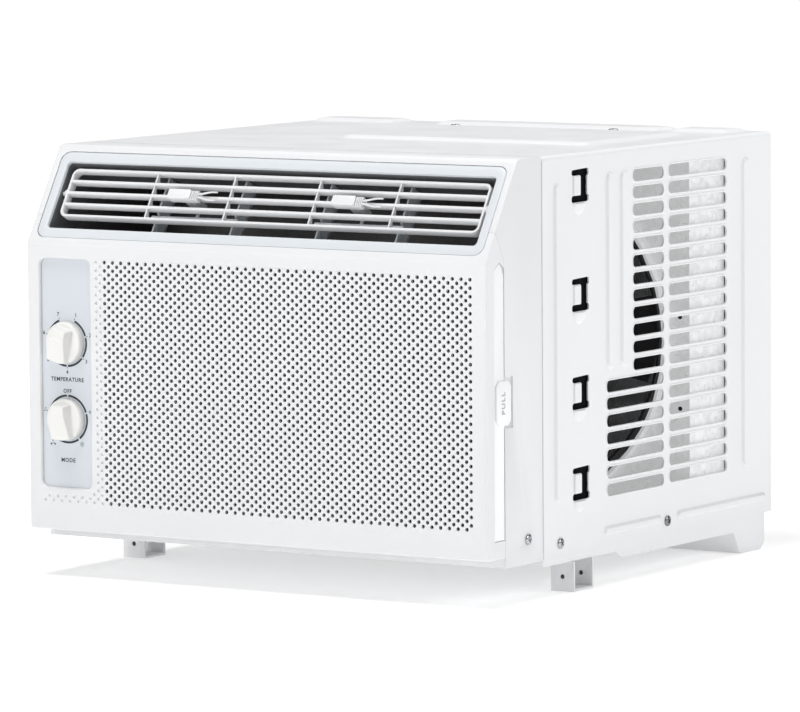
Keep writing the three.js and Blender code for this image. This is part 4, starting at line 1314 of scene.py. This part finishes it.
def screw_head(node, seat, outward, turn):
    """A domed head with a cross recess, standing on seat and facing outward."""
    cross = []
    for k in range(4):
        c, s = round(math.cos(k * math.pi / 2)), round(math.sin(k * math.pi / 2))
        for u, v in ((2.3, -0.5), (2.3, 0.5), (0.62, 0.62)):
            cross.append((u * c - v * s, u * s + v * c))
    profile = [(HEAD, 0.0), (HEAD, 0.35), (HEAD * 0.985, 0.7)]
    for angle in range(10, 55, 6):
        a = math.radians(angle)
        profile.append((HEAD * math.cos(a) * 0.985, 0.7 + (HEAD_HIGH - 0.7) * math.sin(a)))
    shape = Shape()
    shape.loops([[(u, v, h) for u, v in circle(0, 0, r, 48)] for r, h in profile])
    last_r, last_h = profile[-1]
    shape.filled(circle(0, 0, last_r, 48), [cross], lambda u, v: (u, v, last_h))
    sunk = ((1.0, 0.0), (0.9, 0.7), (0.55, 1.3))
    recess = [[(u * share, v * share, last_h - deep) for u, v in cross] for share, deep in sunk]
    shape.loops(recess, cap_last=True)
    spin = Matrix.Rotation(math.radians(turn), 3, "Z")
    basis = outward.to_track_quat("Z", "Y").to_matrix() @ spin
    shape.points = [tuple(Vector(seat) + basis @ Vector(p)) for p in shape.points]
    made(node + "_head", shape, "case", "screw_steel", [node], 32)


def screws():
    spots = (("front", 56.0, 10.5), ("cabinet_front", 101.3, 2.5), ("cabinet_rear", 257.5, 2.3))
    for side, hand in SIDES:
        for stem, y, z in spots:
            node = f"screw_{stem}_{hand}"
            screw_head(node, on_side(side, y, z), Vector((side, 0, 0)), random.uniform(0, 90))
    for hand, x, y in (("left", -52.0, 366.0), ("right", 91.0, 369.0)):
        node = "screw_top_" + hand
        screw_head(node, (x, y, TOP), Vector((0, 0, 1)), random.uniform(0, 90))


screws()

# ---- Camera, floor and light ----
AZIMUTH, ELEVATION, ROLL = (math.radians(a) for a in (32.6, 5.5, -0.4))
LENS = 274.5
SHIFT = (-0.0071, -0.0074)
AIM = (28.2, 165.9, 131.5)
DISTANCE = 4.612
SKY = 0.3
GLOW = {"From Min": 0.5, "From Max": 3.0, "To Min": 0.3, "To Max": 0.74}
LAMPS = (
    # name, place, target, size, watts
    ("key", (-0.75, -3.05, 0.95), (0, 0, 0.15), (0.9, 0.9), 23),
    ("side", (2.5, 0.35, 1.15), (0, -0.2, 0.15), (1.2, 0.9), 18),
    ("roof", (0.4, 1.2, 2.3), (0, 0, 0.2), (1.2, 1.2), 20),
    ("top", (-0.2, -0.7, 2.5), (0, 0, 0.1), (1.0, 1.0), 38),
)


def camera():
    level = math.cos(ELEVATION)
    back = Vector((math.sin(AZIMUTH) * level, -math.cos(AZIMUTH) * level, math.sin(ELEVATION)))
    right = (-back).cross(Vector((0, 0, 1))).normalized()
    up = right.cross(-back)
    c, s = math.cos(ROLL), math.sin(ROLL)
    right, up = right * c + up * s, up * c - right * s
    data = bpy.data.cameras.new("camera")
    data.sensor_width = 36
    data.lens = LENS
    data.shift_x, data.shift_y = SHIFT
    data.clip_end = 50
    eye = placed("camera", data)
    turn = Matrix((right, up, back)).transposed().to_4x4()
    eye.matrix_world = Matrix.Translation(world(AIM) + back * DISTANCE) @ turn
    bpy.context.scene.camera = eye


def softbox(name, place, target, size, power):
    light = bpy.data.lights.new(name, "AREA")
    light.shape = "RECTANGLE"
    light.size, light.size_y = size
    light.energy = power
    lamp = placed(name, light)
    lamp.location = place
    aim = Vector(target) - Vector(place)
    lamp.rotation_euler = aim.to_track_quat("-Z", "Y").to_euler()


def paper():
    """White paper that glows a little, more so further from the object."""
    material, tree, shader, where = blank("floor_paper", Roughness=0.9)
    tint = mixed_colour(tree, noise(tree, where, 3, 3), (0.9, 0.9, 0.9), (0.92, 0.92, 0.92))
    tree.links.new(tint, shader.inputs["Base Color"])
    shader.inputs["Emission Color"].default_value = (1, 1, 1, 1)
    reach = tree.nodes.new("ShaderNodeVectorMath")
    reach.operation = "LENGTH"
    tree.links.new(where, reach.inputs[0])
    glow = tree.nodes.new("ShaderNodeMapRange")
    put_in(glow, GLOW)
    tree.links.new(reach.outputs["Value"], glow.inputs["Value"])
    tree.links.new(glow.outputs["Result"], shader.inputs["Emission Strength"])
    bumped(tree, shader, [(noise(tree, where, 400, 2), 0.0001, 0.2)])
    return material


def studio():
    mesh = bpy.data.meshes.new("floor")
    bm = bmesh.new()
    bmesh.ops.create_grid(bm, x_segments=8, y_segments=8, size=40)
    bm.to_mesh(mesh)
    bm.free()
    mesh.materials.append(paper())
    floor = placed("floor", mesh)
    sky = bpy.data.worlds.new("studio")
    bpy.context.scene.world = sky
    sky.use_nodes = True
    put_in(sky.node_tree.nodes["Background"], {"Color": (1, 1, 1, 1), "Strength": SKY})
    for lamp in LAMPS:
        softbox(*lamp)
    bpy.context.scene.view_settings.view_transform = "Standard"


camera()
studio()
